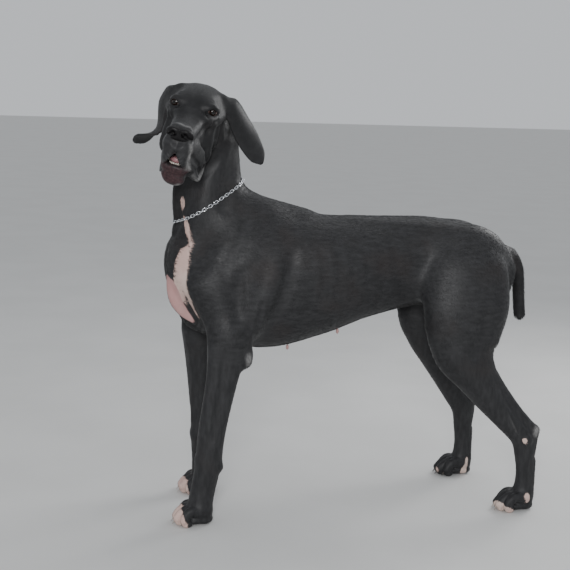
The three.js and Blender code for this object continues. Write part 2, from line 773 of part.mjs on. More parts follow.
// Each claw leaves its toe half way up and bends down to just clear of the floor.
function withClaws(foot, spots, { foot: x, y }) {
  for (const { spread, tip } of spots) {
    const [ahead, aside] = [x - tip + 10, y + spread];
    const claw = new Limb([
      [ahead, aside, 17, 4.5, 4.5, CLAW.half],
      [ahead - 12, aside, 15, 4, 4, 0.8 * CLAW.half],
      [ahead - 6 - CLAW.length, aside, 6.5, 1.6, 1.6, 1.4],
    ], { up: [0, 0, 1], caps: [0.6, 1] });
    foot = foot.add(tubeOver(claw, 5, 4));
  }
  return largest(foot.intersect(floor));
}

// A closed tube of flat faces over a limb, with pointed ends.
function tubeOver(form, sides, stride) {
  const rings = form.samples.filter((_, n) => n % stride === 0 || n === form.samples.length - 1);
  const points = [];
  const triangles = [];
  rings.forEach((s) => {
    for (let n = 0; n < sides; n++) {
      const angle = (2 * PI * n) / sides;
      const over = cos(angle) * (cos(angle) > 0 ? s[3] : s[4]);
      const side = sin(angle) * s[5];
      points.push([0, 1, 2].map((k) => s[k] + over * s[9 + k] + side * s[12 + k]));
    }
  });
  for (let r = 0; r < rings.length - 1; r++) {
    for (let n = 0; n < sides; n++) {
      const next = (n + 1) % sides;
      const [a, b, c, d] = [r * sides + n, r * sides + next, (r + 1) * sides + next, (r + 1) * sides + n];
      triangles.push(a, b, c, a, c, d);
    }
  }
  const [first, final] = [rings[0], rings[rings.length - 1]];
  points.push([0, 1, 2].map((k) => first[k] - form.caps[0] * first[6 + k]));
  points.push([0, 1, 2].map((k) => final[k] + form.caps[1] * final[6 + k]));
  for (let n = 0; n < sides; n++) {
    const next = (n + 1) % sides;
    const end = (rings.length - 1) * sides;
    triangles.push(points.length - 2, next, n);
    triangles.push(points.length - 1, end + n, end + next);
  }
  return outwards(points, triangles);
}

// A solid whichever way round its triangles were listed.
function outwards(points, triangles) {
  const solid = solidFrom(points, triangles);
  if (solid.volume() > 0) return solid;
  return solidFrom(points, triangles.map((_, n) => triangles[n - (n % 3) + [0, 2, 1][n % 3]]));
}

nodes.torso = largest(torso.subtract(removed(NECK_CUT)));

const neckField = fieldOf(trunkFlesh, throatFlesh, skullFlesh);
let neck = solidOf(neckField, [-150, -200, 600], [300, 160, 1100], CELL.neck);
neck = neck.intersect(kept(NECK_CUT)).subtract(removed(HEAD_CUT));
nodes.neck = largest(neck);

const tailSolid = solidOf(fieldOf(tailFlesh), [730, -60, 420], [900, 60, 720], CELL.tail);
nodes.tail = largest(tailSolid.subtract(grown(nodes.torso, GAP)));

// Head, jaw, nose, tongue, eyes and ears

const headBox = [[-240, -330, 780], [190, 60, 1100]];
let head = solidOf(fieldOf(throatFlesh, skullFlesh), ...headBox, CELL.head).intersect(kept(HEAD_CUT));

nodes.nose = solidOf(fieldOf(nosePad()), ...headBox, CELL.nose);

let jaw = solidOf(fieldOf(jawFlesh), ...headBox, CELL.jaw);
const jawEnd = { at: inHead(-4, 0, -80), normal: turnInHead(1, 0, 0.2) };
jaw = jaw.intersect(kept(jawEnd));

const tongueFlesh = new Flesh([
  limb(4, [
    [JAW.tip - 28, 0, JAW.lip, 5, 7, 13],
    [46, 0, -86, 7, 9, 16],
    [14, 0, -80, 9, 10, 15],
  ], { ...upwards, caps: [0.9, 0.6] }),
], headPlace);
nodes.tongue = solidOf(fieldOf(tongueFlesh), ...headBox, CELL.tongue);
head = head.subtract(grown(jaw, 3 * GAP)).subtract(grown(nodes.nose, GAP)).subtract(grown(nodes.tongue, GAP));
jaw = jaw.subtract(grown(nodes.tongue, GAP));
for (const place of [-2.5, -1.5, -0.5, 0.5, 1.5, 2.5]) {
  const ahead = JAW.tip - 13 - 0.9 * place ** 2;
  const tooth = new Limb([
    [ahead, 4.2 * place, JAW.lip - 6, 2.6, 2.6, 2.4],
    [ahead + 1, 4.2 * place, JAW.lip + 5, 1.6, 1.6, 2.2],
  ], { ...backwards, caps: [0.5, 0.4] });
  jaw = jaw.add(tubeInHead(tooth, 5, 3));
}
nodes.lower_jaw = largest(jaw);

function tubeInHead(form, sides, stride) {
  return solidFromGeometry(geometryOf(tubeOver(form, sides, stride)), headPlace);
}

for (const side of [1, -1]) {
  const name = side === 1 ? 'left' : 'right';
  const centre = [-EYE.back, 0.5 * EYE.apart * side, 0];
  const ball = new THREE.SphereGeometry(EYE.radius, 10, 7).rotateX(PI / 2);
  const place = headPlace.clone().multiply(new THREE.Matrix4().makeTranslation(...centre));
  const eye = solidFromGeometry(ball, place);
  head = head.subtract(lidOpening(side, centre)).add(lidRim(side, centre)).subtract(grown(eye, GAP));
  nodes[`eye_${name}`] = eye;
}

// The almond opening in front of an eyeball.
function lidOpening(side, centre) {
  const almond = new THREE.SphereGeometry(1, 8, 6).scale(EYE.radius, 11, 8).translate(EYE.radius + 5, 0, 0);
  almond.rotateZ(EYE.turn * side * degrees).translate(...centre);
  return solidFromGeometry(almond, headPlace);
}

// A rim of lid round the almond opening over an eyeball.
function lidRim(side, centre) {
  const rim = new THREE.TorusGeometry(1, 0.2, 4, 11);
  const place = rim.getAttribute('position');
  const turn = new THREE.Matrix4().makeRotationZ(EYE.turn * side * degrees);
  for (let n = 0; n < place.count; n++) {
    const [across, high, thick] = [place.getX(n) * 11.5, place.getY(n) * 8.8, place.getZ(n) * 13];
    const shell = EYE.radius + 1.2 + thick;
    const ahead = sqrt(max(shell * shell - across * across - high * high, 4));
    const spot = new THREE.Vector3(ahead, across, high).applyMatrix4(turn);
    place.setXYZ(n, spot.x + centre[0], spot.y + centre[1], spot.z + centre[2]);
  }
  return solidFromGeometry(rim, headPlace);
}

// An ear leaf: cupped sections along a line from its root to its tip, in the head's frame.
function earLeaf(path, { cup }) {
  const rows = [];
  const count = 10;
  const curve = new THREE.CatmullRomCurve3(path.map((p) => new THREE.Vector3(...p.at)));
  const across = path.map((p) => new THREE.Vector3(...p.across).normalize());
  for (let n = 0; n <= count; n++) {
    const t = n / count;
    const spot = curve.getPoint(t);
    const along = curve.getTangent(t);
    const k = min(t * (path.length - 1), path.length - 1.0001);
    const wide = across[Math.floor(k)].clone().lerp(across[Math.floor(k) + 1], k % 1);
    wide.addScaledVector(along, -wide.dot(along)).normalize();
    const out = new THREE.Vector3().crossVectors(along, wide);
    const swell = 0.68 + 0.32 * sin(0.5 * PI * min(t / 0.4, 1));
    const taper = sqrt(max(1 - (max(t - 0.5, 0) / 0.5) ** 3, 0.04));
    const width = 0.5 * EAR.width * swell * taper;
    const curl = cup * (1 - t) ** 1.2 + 0.06;
    rows.push({ spot, wide, out, width, curl, thick: EAR.thick * (1 - 0.3 * t) });
  }
  const points = [];
  const triangles = [];
  const seats = 6;
  for (const face of [1, -1]) {
    for (const { spot, wide, out, width, curl, thick } of rows) {
      for (let s = 0; s < seats; s++) {
        const share = (2 * s) / (seats - 1) - 1;
        const bend = curl * width * share * share;
        const body = 0.5 * thick * (abs(share) > 0.99 ? 0.35 : 1);
        const point = spot.clone().addScaledVector(wide, share * width * (1 - 0.25 * curl));
        points.push(point.addScaledVector(out, bend + face * body).toArray());
      }
    }
  }
  const sheet = rows.length * seats;
  for (const [start, flip] of [[0, false], [sheet, true]]) {
    for (let r = 0; r < rows.length - 1; r++) {
      for (let s = 0; s < seats - 1; s++) {
        const a = start + r * seats + s;
        const faces = [[a, a + seats, a + 1], [a + 1, a + seats, a + seats + 1]];
        for (const [i, j, k] of faces) triangles.push(...(flip ? [i, k, j] : [i, j, k]));
      }
    }
  }
  const rim = [];
  for (let r = 0; r < rows.length; r++) rim.push(r * seats);
  for (let s = 1; s < seats; s++) rim.push((rows.length - 1) * seats + s);
  for (let r = rows.length - 2; r >= 0; r--) rim.push(r * seats + seats - 1);
  for (let s = seats - 2; s > 0; s--) rim.push(s);
  rim.forEach((a, n) => {
    const b = rim[(n + 1) % rim.length];
    triangles.push(a, a + sheet, b, b, a + sheet, b + sheet);
  });
  return outwards(points.map((point) => inHead(...point)), triangles);
}

const leftEar = earLeaf([
  { at: [-80, 44, 4], across: [1, 0, -0.5] },
  { at: [-84, 76, 6], across: [1, -0.1, -0.5] },
  { at: [-92, 100, -30], across: [0.84, -0.35, -0.4] },
  { at: [-94, 126, -68], across: [0.74, -0.42, -0.5] },
  { at: [-96, 169, -112], across: [0.7, -0.6, -0.4] },
], { cup: 0.3 });
const rightEar = earLeaf([
  { at: [-84, -44, 0], across: [1, 0, 0] },
  { at: [-80, -66, 1], across: [1, 0.1, 0] },
  { at: [-74, -78, -32], across: [1, 0.1, 0] },
  { at: [-68, -77, -90], across: [0.9, 0.1, 0.1] },
  { at: [-62, -126, -133], across: [0.8, -0.25, 0.6] },
], { cup: 0.3 });

nodes.head = largest(head);
const headSeat = grown(nodes.head, GAP);
const neckSeat = grown(nodes.neck, GAP);
nodes.ear_left = largest(leftEar.subtract(headSeat).subtract(neckSeat));
nodes.ear_right = largest(rightEar.subtract(headSeat).subtract(neckSeat));
nodes.lower_jaw = nodes.lower_jaw.subtract(headSeat).subtract(neckSeat);
for (const way of [[0, 0, GAP], [0, 0, -GAP], [0, GAP, 0], [0, -GAP, 0]]) {
  nodes.lower_jaw = nodes.lower_jaw.subtract(nodes.head.translate(...way));
}
nodes.lower_jaw = largest(nodes.lower_jaw);

// The chain: oval links along the line where a slanting plane meets the neck.
function collarLine() {
  const { back, front, links } = COLLAR;
  const middle = new THREE.Vector3(...back).lerp(new THREE.Vector3(...front), 0.5);
  const ahead = new THREE.Vector3(...front).sub(new THREE.Vector3(...back)).normalize();
  const aside = new THREE.Vector3(0, 1, 0);
  const flesh = fieldOf(trunkFlesh, throatFlesh);
  const points = [];
  for (let n = 0; n < 4 * links; n++) {
    const angle = (2 * PI * n) / (4 * links);
    const way = ahead.clone().multiplyScalar(cos(angle)).addScaledVector(aside, sin(angle));
    let far = 20;
    for (let step = 0; step < 40; step++) {
      const spot = middle.clone().addScaledVector(way, far);
      far += 0.7 * (COLLAR.half + 1 - flesh(spot.x, spot.y, spot.z));
    }
    points.push(middle.clone().addScaledVector(way, far));
  }
  return new THREE.CatmullRomCurve3(points, true);
}

function collar() {
  const line = collarLine();
  const pitch = line.getLength() / COLLAR.links;
  let chain = null;
  for (let n = 0; n < COLLAR.links; n++) {
    const t = n / COLLAR.links;
    const along = line.getTangentAt(t);
    const spot = line.getPointAt(t);
    const twist = n % 2 ? 40 : -40;
    const high = new THREE.Vector3(0, 0, 1).addScaledVector(along, -along.z).normalize();
    const over = high.applyAxisAngle(along, twist * degrees);
    const face = new THREE.Vector3().crossVectors(along, over);
    const link = new THREE.TorusGeometry(COLLAR.half - COLLAR.wire, COLLAR.wire, 3, 6);
    link.scale((0.5 * pitch + 2 * COLLAR.wire) / COLLAR.half, 0.8, 1);
    link.applyMatrix4(new THREE.Matrix4().makeBasis(along, over, face).setPosition(spot));
    const solid = solidFromGeometry(link);
    chain = chain ? chain.add(solid) : solid;
  }
  return chain;
}
nodes.collar = largest(collar().subtract(neckSeat).subtract(grown(nodes.torso, GAP)));

// The scene graph

const FINISH = {
  nose: NOSE, tongue: SKIN, eye_left: EYES, eye_right: EYES, collar: STEEL,
};

const dog = new THREE.Group();
for (const [name, solid] of Object.entries(nodes)) {
  const mesh = new THREE.Mesh(geometryOf(solid), new THREE.MeshStandardMaterial(FINISH[name] ?? COAT));
  mesh.name = name;
  dog.add(mesh);
}
const extent = new THREE.Box3().setFromObject(dog);
dog.position.set(-0.5 * (extent.min.x + extent.max.x), -0.5 * (extent.min.y + extent.max.y), 0);

const model = new THREE.Group();
model.add(dog);

export default model;
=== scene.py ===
"""Great dane bitch, life size, standing with her head turned to her left.

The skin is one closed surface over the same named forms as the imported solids,
with the folds, lids, lips and muscles that those leave out. Forms are given in
millimetres in the stance frame: x runs back from a point midway between the
front paws, y to her right and z up from the floor.
"""

import itertools
import json
import logging
import math
from concurrent.futures import ThreadPoolExecutor
from dataclasses import dataclass, field
from enum import IntEnum
from typing import Callable, Sequence

import bmesh
import bpy
import numpy as np
from mathutils import Matrix, Vector

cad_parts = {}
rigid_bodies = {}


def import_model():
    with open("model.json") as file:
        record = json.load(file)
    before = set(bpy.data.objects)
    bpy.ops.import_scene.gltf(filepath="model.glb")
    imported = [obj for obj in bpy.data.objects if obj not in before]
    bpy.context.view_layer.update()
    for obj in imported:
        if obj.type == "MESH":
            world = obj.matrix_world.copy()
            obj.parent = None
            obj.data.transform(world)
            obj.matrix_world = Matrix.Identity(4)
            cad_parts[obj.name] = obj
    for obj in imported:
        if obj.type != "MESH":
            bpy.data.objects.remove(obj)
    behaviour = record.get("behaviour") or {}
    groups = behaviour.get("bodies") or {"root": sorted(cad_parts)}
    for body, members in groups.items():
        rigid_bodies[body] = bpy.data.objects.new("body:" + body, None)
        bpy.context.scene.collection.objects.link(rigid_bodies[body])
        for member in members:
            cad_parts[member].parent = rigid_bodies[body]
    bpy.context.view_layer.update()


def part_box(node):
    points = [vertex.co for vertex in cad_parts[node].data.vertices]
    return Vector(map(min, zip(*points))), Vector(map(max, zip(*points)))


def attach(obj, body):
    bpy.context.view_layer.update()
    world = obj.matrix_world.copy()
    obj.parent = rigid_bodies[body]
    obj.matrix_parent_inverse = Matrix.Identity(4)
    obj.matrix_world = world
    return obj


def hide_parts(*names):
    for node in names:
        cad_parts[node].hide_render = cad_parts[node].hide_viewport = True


LOG = logging.getLogger("great_dane")
MM = 0.001
REACH = 60.0

Row = Sequence[float]
Triple = tuple[float, float, float]
Array = np.ndarray
Mesh = bpy.types.Mesh
Material = bpy.types.Material
Piece = bpy.types.Object
Socket = bpy.types.NodeSocket


class Side(IntEnum):
    """Her two sides, as the sign of y in the stance frame."""

    LEFT = -1
    RIGHT = 1


LEFT, RIGHT = Side


def unit(vector: Sequence[float]) -> Array:
    """Return a vector at length one."""
    vector = np.asarray(vector, dtype=float)
    return vector / np.linalg.norm(vector)


def units(rows: Array, least: float = 1e-6) -> Array:
    """Return every row at length one; rows shorter than the least stay short."""
    return rows / np.maximum(np.linalg.norm(rows, axis=1, keepdims=True), least)


def between(rows: Array, at: Array, part: Array) -> Array:
    """Return mixes of each row and the next one, a part of the way on."""
    return rows[at] + (rows[at + 1] - rows[at]) * part.reshape(-1, *[1] * (rows.ndim - 1))


def ramp(value: Array, zero: float, one: float) -> Array:
    """Return 0 to 1 as a value goes from one bound to the other."""
    return np.clip((value - zero) / (one - zero), 0, 1)


def read(items: bpy.types.bpy_prop_collection, key: str, width: int = 3, kind: type = float) -> Array:
    """Return one value of every item, a row for each.

    Args:
        items: Vertices, edges or the like.
        key: Name of the value.
        width: How many numbers it holds.
        kind: Their type.
    """
    values = np.empty(width * len(items), dtype=kind)
    items.foreach_get(key, values)
    return values.reshape(-1, width)


def put(name: str, data: bpy.types.ID) -> Piece:
    """Return a new object in the scene."""
    thing = bpy.data.objects.new(name, data)
    bpy.context.scene.collection.objects.link(thing)
    return thing


def plain_mesh(piece: Piece) -> Mesh:
    """Return the mesh that an object's modifiers make of it, and take the object away."""
    evaluated = piece.evaluated_get(bpy.context.evaluated_depsgraph_get())
    mesh = bpy.data.meshes.new_from_object(evaluated)
    bpy.data.objects.remove(piece)
    return mesh


def glide(a: Array, b: Array, c: Array, d: Array, t: float) -> Array:
    """Return the place at t between b and c on the smooth line through four rows."""
    lean, leave = 0.5 * (c - a), 0.5 * (d - b)
    return ((2 * (b - c) + lean + leave) * t + (3 * (c - b) - 2 * lean - leave)) * t * t + lean * t + b


class Form:
    """A soft closed shape given by its distance from points, negative inside."""

    low: Array
    high: Array
    margin: float = 25

    def __init__(self, blend: float, hollow: bool = False) -> None:
        """Keep how far the form melts into its neighbours and whether it cuts."""
        self.blend = blend
        self.hollow = hollow
        self.reach = blend + self.margin

    def distance(self, points: Array) -> Array:
        """Return the distance of each point."""
        raise NotImplementedError

    def melt(self, points: Array, value: Array) -> None:
        """Join this form to the values that the points have so far.

        Args:
            points: Places in the form's own frame, one row each.
            value: Distances so far, changed in place.
        """
        near = np.all((points > self.low - self.reach) & (points < self.high + self.reach), axis=1)
        if not near.any():
            return
        own = self.distance(points[near])
        before = value[near]
        if self.hollow:
            share = np.maximum(self.blend - np.abs(before + own), 0) / self.blend
            value[near] = np.maximum(before, -own) + share * share * self.blend / 4
        else:
            share = np.maximum(self.blend - np.abs(before - own), 0) / self.blend
            value[near] = np.minimum(before, own) - share * share * self.blend / 4


class Line(Form):
    """Sections strung along a smooth line through rows of numbers."""

    more: int = 0

    def __init__(self, blend: float, rows: Sequence[Row], up: Row = (0, 0, 1), steps: int = 6,
                 hollow: bool = False) -> None:
        """Sample the line and give each sample its frame.

        Args:
            blend: Distance over which the form melts into its neighbours.
            rows: x, y, z and then the three sizes of each section, where one size stands for all
                and the first of two for the first two.
            up: Direction that a section's first size points towards, or one for each row.
            steps: Samples between two rows.
            hollow: True where the form is cut away.
        """
        super().__init__(blend, hollow)
        table = np.array([self.full(row) for row in rows], dtype=float)
        hints = np.array([up] * len(rows) if np.isscalar(up[0]) else up, dtype=float)
        table = np.hstack([table, hints])
        last = len(rows) - 1
        samples = []
        for i in range(last):
            around = table[max(i - 1, 0)], table[i], table[i + 1], table[min(i + 2, last)]
            samples += [glide(*around, j / steps) for j in range(steps)]
        samples = np.array(samples + [table[last]])
        self.places = samples[:, :3]
        self.sizes = samples[:, 3:-3]
        along = units(np.gradient(self.places, axis=0))
        over = units(samples[:, -3:] - along * np.sum(samples[:, -3:] * along, axis=1, keepdims=True))
        self.frames = np.stack([along, over, np.cross(along, over)], axis=1)
        widest = self.sizes[:, :3].max()
        self.low = self.places.min(axis=0) - widest
        self.high = self.places.max(axis=0) + widest

    def full(self, row: Row) -> list[float]:
        """Return a row with all three sizes, and what the kind of line adds to them."""
        spot, sizes, more = row[:3], row[3:len(row) - self.more], row[len(row) - self.more:]
        return [*spot, *[sizes[0]] * (4 - len(sizes)), *sizes[1:], *more]

    def nearest(self, points: Array) -> tuple[Array, Array]:
        """Return the nearest stretch of the line and how far along it, for each point."""
        best = np.full(len(points), np.inf)
        at = np.zeros(len(points), dtype=int)
        part = np.zeros(len(points))
        middle = points.mean(axis=0)
        radius = np.sqrt(np.sum((points - middle) ** 2, axis=1).max())
        runs = self.places[1:] - self.places[:-1]
        along = np.sum((middle - self.places[:-1]) * runs, axis=1)
        share = np.clip(along / np.sum(runs * runs, axis=1), 0, 1)
        away = np.linalg.norm(self.places[:-1] + share[:, None] * runs - middle, axis=1)
        for i in np.flatnonzero(away <= away.min() + 2 * radius + 1e-6):
            a, run = self.places[i], runs[i]
            offset = points - a
            t = np.clip(offset @ run / (run @ run), 0, 1)
            far = np.sum((offset - t[:, None] * run) ** 2, axis=1)
            closer = far < best
            best[closer], at[closer], part[closer] = far[closer], i, t[closer]
        return at, part

    def section(self, points: Array) -> tuple[Array, Array, Array, Array]:
        """Return each point's place in its section, the section's sizes and the end marks.

        Returns:
            Offsets along, over and to the side; the sizes; which stretch; and how far along it.
        """
        at, part = self.nearest(points)
        frame = between(self.frames, at, part)
        offset = np.einsum("nij,nj->ni", frame, points - between(self.places, at, part))
        return offset, between(self.sizes, at, part), at, part

    def ends(self, at: Array, part: Array) -> tuple[Array, Array]:
        """Return which points lie before the line's start and which past its end."""
        return (at == 0) & (part == 0), (at == len(self.places) - 2) & (part == 1)


class Limb(Line):
    """Oval sections; a row ends with the half size over the line, under it and to the side."""

    def __init__(self, blend: float, rows: Sequence[Row], up: Row = (0, 0, 1), square: float = 2.0,
                 caps: tuple[float, float] = (0.8, 0.8), steps: int = 6, hollow: bool = False) -> None:
        """Add the shape of the sections and of the rounded ends to the line."""
        super().__init__(blend, rows, up, steps, hollow)
        self.square = square
        self.caps = (caps[0] * self.sizes[0, :2].mean(), caps[1] * self.sizes[-1, :2].mean())

    def distance(self, points: Array) -> Array:
        """Return the distance of each point."""
        offset, sizes, at, part = self.section(points)
        high = np.where(offset[:, 1] > 0, sizes[:, 0], sizes[:, 1])
        wide = sizes[:, 2]
        m = self.square
        u, s = np.abs(offset[:, 1]) / high, np.abs(offset[:, 2]) / wide
        ring = (u ** m + s ** m) ** (1 / m)
        first, final = self.ends(at, part)
        cap = np.where(first, self.caps[0], self.caps[1])
        w = np.where(first | final, np.abs(offset[:, 0]) / cap, 0)
        whole = np.maximum(np.hypot(ring, w), 1e-4)
        keep = np.maximum(ring, 1e-6) ** (2 - m) / whole
        slope = np.sqrt((keep * u ** (m - 1) / high) ** 2 + (keep * s ** (m - 1) / wide) ** 2
                        + (w / whole / cap) ** 2)
        value = (whole - 1) / np.maximum(slope, 1e-6)
        return np.maximum(value, -np.minimum(high, wide))


class Relief(Limb):
    """A soft rise or dip along a line; a row ends with the half sizes and the rise, below 0 for a dip."""

    more = 1

    def __init__(self, rows: Sequence[Row], up: Row = (0, 0, 1)) -> None:
        """Keep the line; a relief doesn't melt."""
        super().__init__(1, rows, up)

    def melt(self, points: Array, value: Array) -> None:
        """Lift or sink the surface near the line."""
        near = np.flatnonzero(np.all((points > self.low - 2) & (points < self.high + 2), axis=1))
        if not len(near):
            return
        offset, sizes, at, part = self.section(points[near])
        high = np.where(offset[:, 1] > 0, sizes[:, 0], sizes[:, 1])
        first, final = self.ends(at, part)
        cap = np.where(first, self.caps[0], self.caps[1]) + 4
        ahead = np.where(first | final, offset[:, 0] / cap, 0)
        share = np.clip((offset[:, 1] / high) ** 2 + (offset[:, 2] / sizes[:, 2]) ** 2 + ahead ** 2, 0, 1)
        value[near] -= sizes[:, 3] * (1 - share) ** 2


class Leaf(Line):
    """A curved sheet; a row ends with half its width, its thickness and its curl."""

    def distance(self, points: Array) -> Array:
        """Return the distance of each point."""
        offset, sizes, at, part = self.section(points)
        half, thick, curl = sizes[:, 0], 0.5 * sizes[:, 1], sizes[:, 2]
        across = offset[:, 1]
        share = across / half
        bend = curl * half * (np.clip(share, -1.3, 1.3) ** 2 - 0.3)
        over = (offset[:, 2] - bend) / np.sqrt(1 + (2 * curl * np.clip(share, -1, 1)) ** 2)
        wide = np.maximum(np.abs(across) - (half - thick), 0)
        first, final = self.ends(at, part)
        end = np.where(final, np.maximum(offset[:, 0], 0), 0)
        end = np.where(first, np.maximum(-offset[:, 0], 0), end)
        return np.sqrt(wide ** 2 + over ** 2 + end ** 2) - thick


class Swelling(Form):
    """One oval swelling or pit with three half sizes, turned by angles in degrees."""

    def __init__(self, blend: float, at: Row, half: Row, turn: Row = (0, 0, 0),
                 hollow: bool = False) -> None:
        """Keep the place, sizes and turn."""
        super().__init__(blend, hollow)
        self.at = np.array(at, dtype=float)
        self.half = np.array(half, dtype=float)
        x, y, z = (math.radians(angle) for angle in turn)
        spin = Matrix.Rotation(z, 3, "Z") @ Matrix.Rotation(y, 3, "Y") @ Matrix.Rotation(x, 3, "X")
        self.spin = np.array(spin)
        self.low = self.at - self.half.max()
        self.high = self.at + self.half.max()

    def distance(self, points: Array) -> Array:
        """Return the distance of each point."""
        share = ((points - self.at) @ self.spin) / self.half
        whole = np.maximum(np.linalg.norm(share, axis=1), 1e-4)
        return (whole - 1) * whole / np.maximum(np.linalg.norm(share / self.half, axis=1), 1e-9)


@dataclass
class Flesh:
    """A group of forms melted into one another, in a frame of its own."""

    forms: list[Form]
    place: Array = field(default_factory=lambda: np.eye(4))

    def local(self, points: Array) -> Array:
        """Return points of the stance frame in the group's own frame."""
        return (points - self.place[:3, 3]) @ self.place[:3, :3]

    def add(self, points: Array, value: Array) -> None:
        """Melt every form of the group that comes near the points into the values so far."""
        own = self.local(points)
        low, high = own.min(axis=0), own.max(axis=0)
        for form in self.forms:
            if np.all(low < form.high + form.reach) and np.all(high > form.low - form.reach):
                form.melt(own, value)


@dataclass
class Body:
    """All the flesh together, as one distance that is negative inside and flat at the floor."""

    groups: list[Flesh]
    coat: float = 0.8
    lot: int = 5000

    def lots(self, points: Array, index: Array) -> list[Array]:
        """Return the points split into compact lots of about the same number."""
        if len(index) <= self.lot:
            return [index]
        axis = np.argmax(np.ptp(points[index], axis=0))
        order = np.argpartition(points[index, axis], len(index) // 2)
        halves = np.split(index[order], [len(index) // 2])
        return self.lots(points, halves[0]) + self.lots(points, halves[1])

    def part(self, points: Array) -> Array:
        """Return the distance of one lot of points that lie close together."""
        value = np.full(len(points), REACH)
        for group in self.groups:
            group.add(points, value)
        return np.maximum(value + self.coat, -points[:, 2])

    def distance(self, points: Array) -> Array:
        """Return the distance of every point, lot by lot over a few threads."""
        if not len(points):
            return np.zeros(0)
        lots = self.lots(points, np.arange(len(points)))
        result = np.empty(len(points))
        with ThreadPoolExecutor(max_workers=4) as pool:
            for lot, value in zip(lots, pool.map(lambda lot: self.part(points[lot]), lots)):
                result[lot] = value
        return result


@dataclass(frozen=True)
class Stance:
    """Where the feet, joints, eyes and nipples are, in millimetres."""

    fore_y: dict[int, float] = field(default_factory=lambda: {LEFT: -106, RIGHT: 104})
    elbow: dict[int, float] = field(default_factory=lambda: {LEFT: 58, RIGHT: 28})
    fore_foot: dict[int, float] = field(default_factory=lambda: {LEFT: 2, RIGHT: 44})
    hind_y: dict[int, float] = field(default_factory=lambda: {LEFT: -138, RIGHT: 136})
    stifle: dict[int, float] = field(default_factory=lambda: {LEFT: 645, RIGHT: 648})
    hind_foot: dict[int, float] = field(default_factory=lambda: {LEFT: 828, RIGHT: 772})
    eyes: Triple = (-36, -140, 989)
    nipples: tuple[Row, ...] = ((223, 31, 411), (349, 32, 449), (585, 34, 510))
    heading: float = -109.6
    pitch: float = 12.0
    roll: float = 13.8

    def head_place(self) -> Array:
        """Return the matrix from the head's frame to the stance frame."""
        turn = (Matrix.Rotation(math.radians(self.heading), 4, "Z")
                @ Matrix.Rotation(math.radians(self.pitch), 4, "Y")
                @ Matrix.Rotation(math.radians(-self.roll), 4, "X"))
        return np.array(Matrix.Translation(self.eyes) @ turn)


STANCE = Stance()
HEAD_PLACE = STANCE.head_place()
BACK_UP = (1, 0, 0)


def from_head(*place: float) -> Array:
    """Return a place of the head's frame in the stance frame."""
    return HEAD_PLACE[:3, :3] @ np.array(place, dtype=float) + HEAD_PLACE[:3, 3]


def to_head(places: Array) -> Array:
    """Return places of the stance frame in the head's frame."""
    return (places - HEAD_PLACE[:3, 3]) @ HEAD_PLACE[:3, :3]


def both(make: Callable[[int], list[Form]]) -> list[Form]:
    """Return the forms of the left and the right side."""
    return make(LEFT) + make(RIGHT)


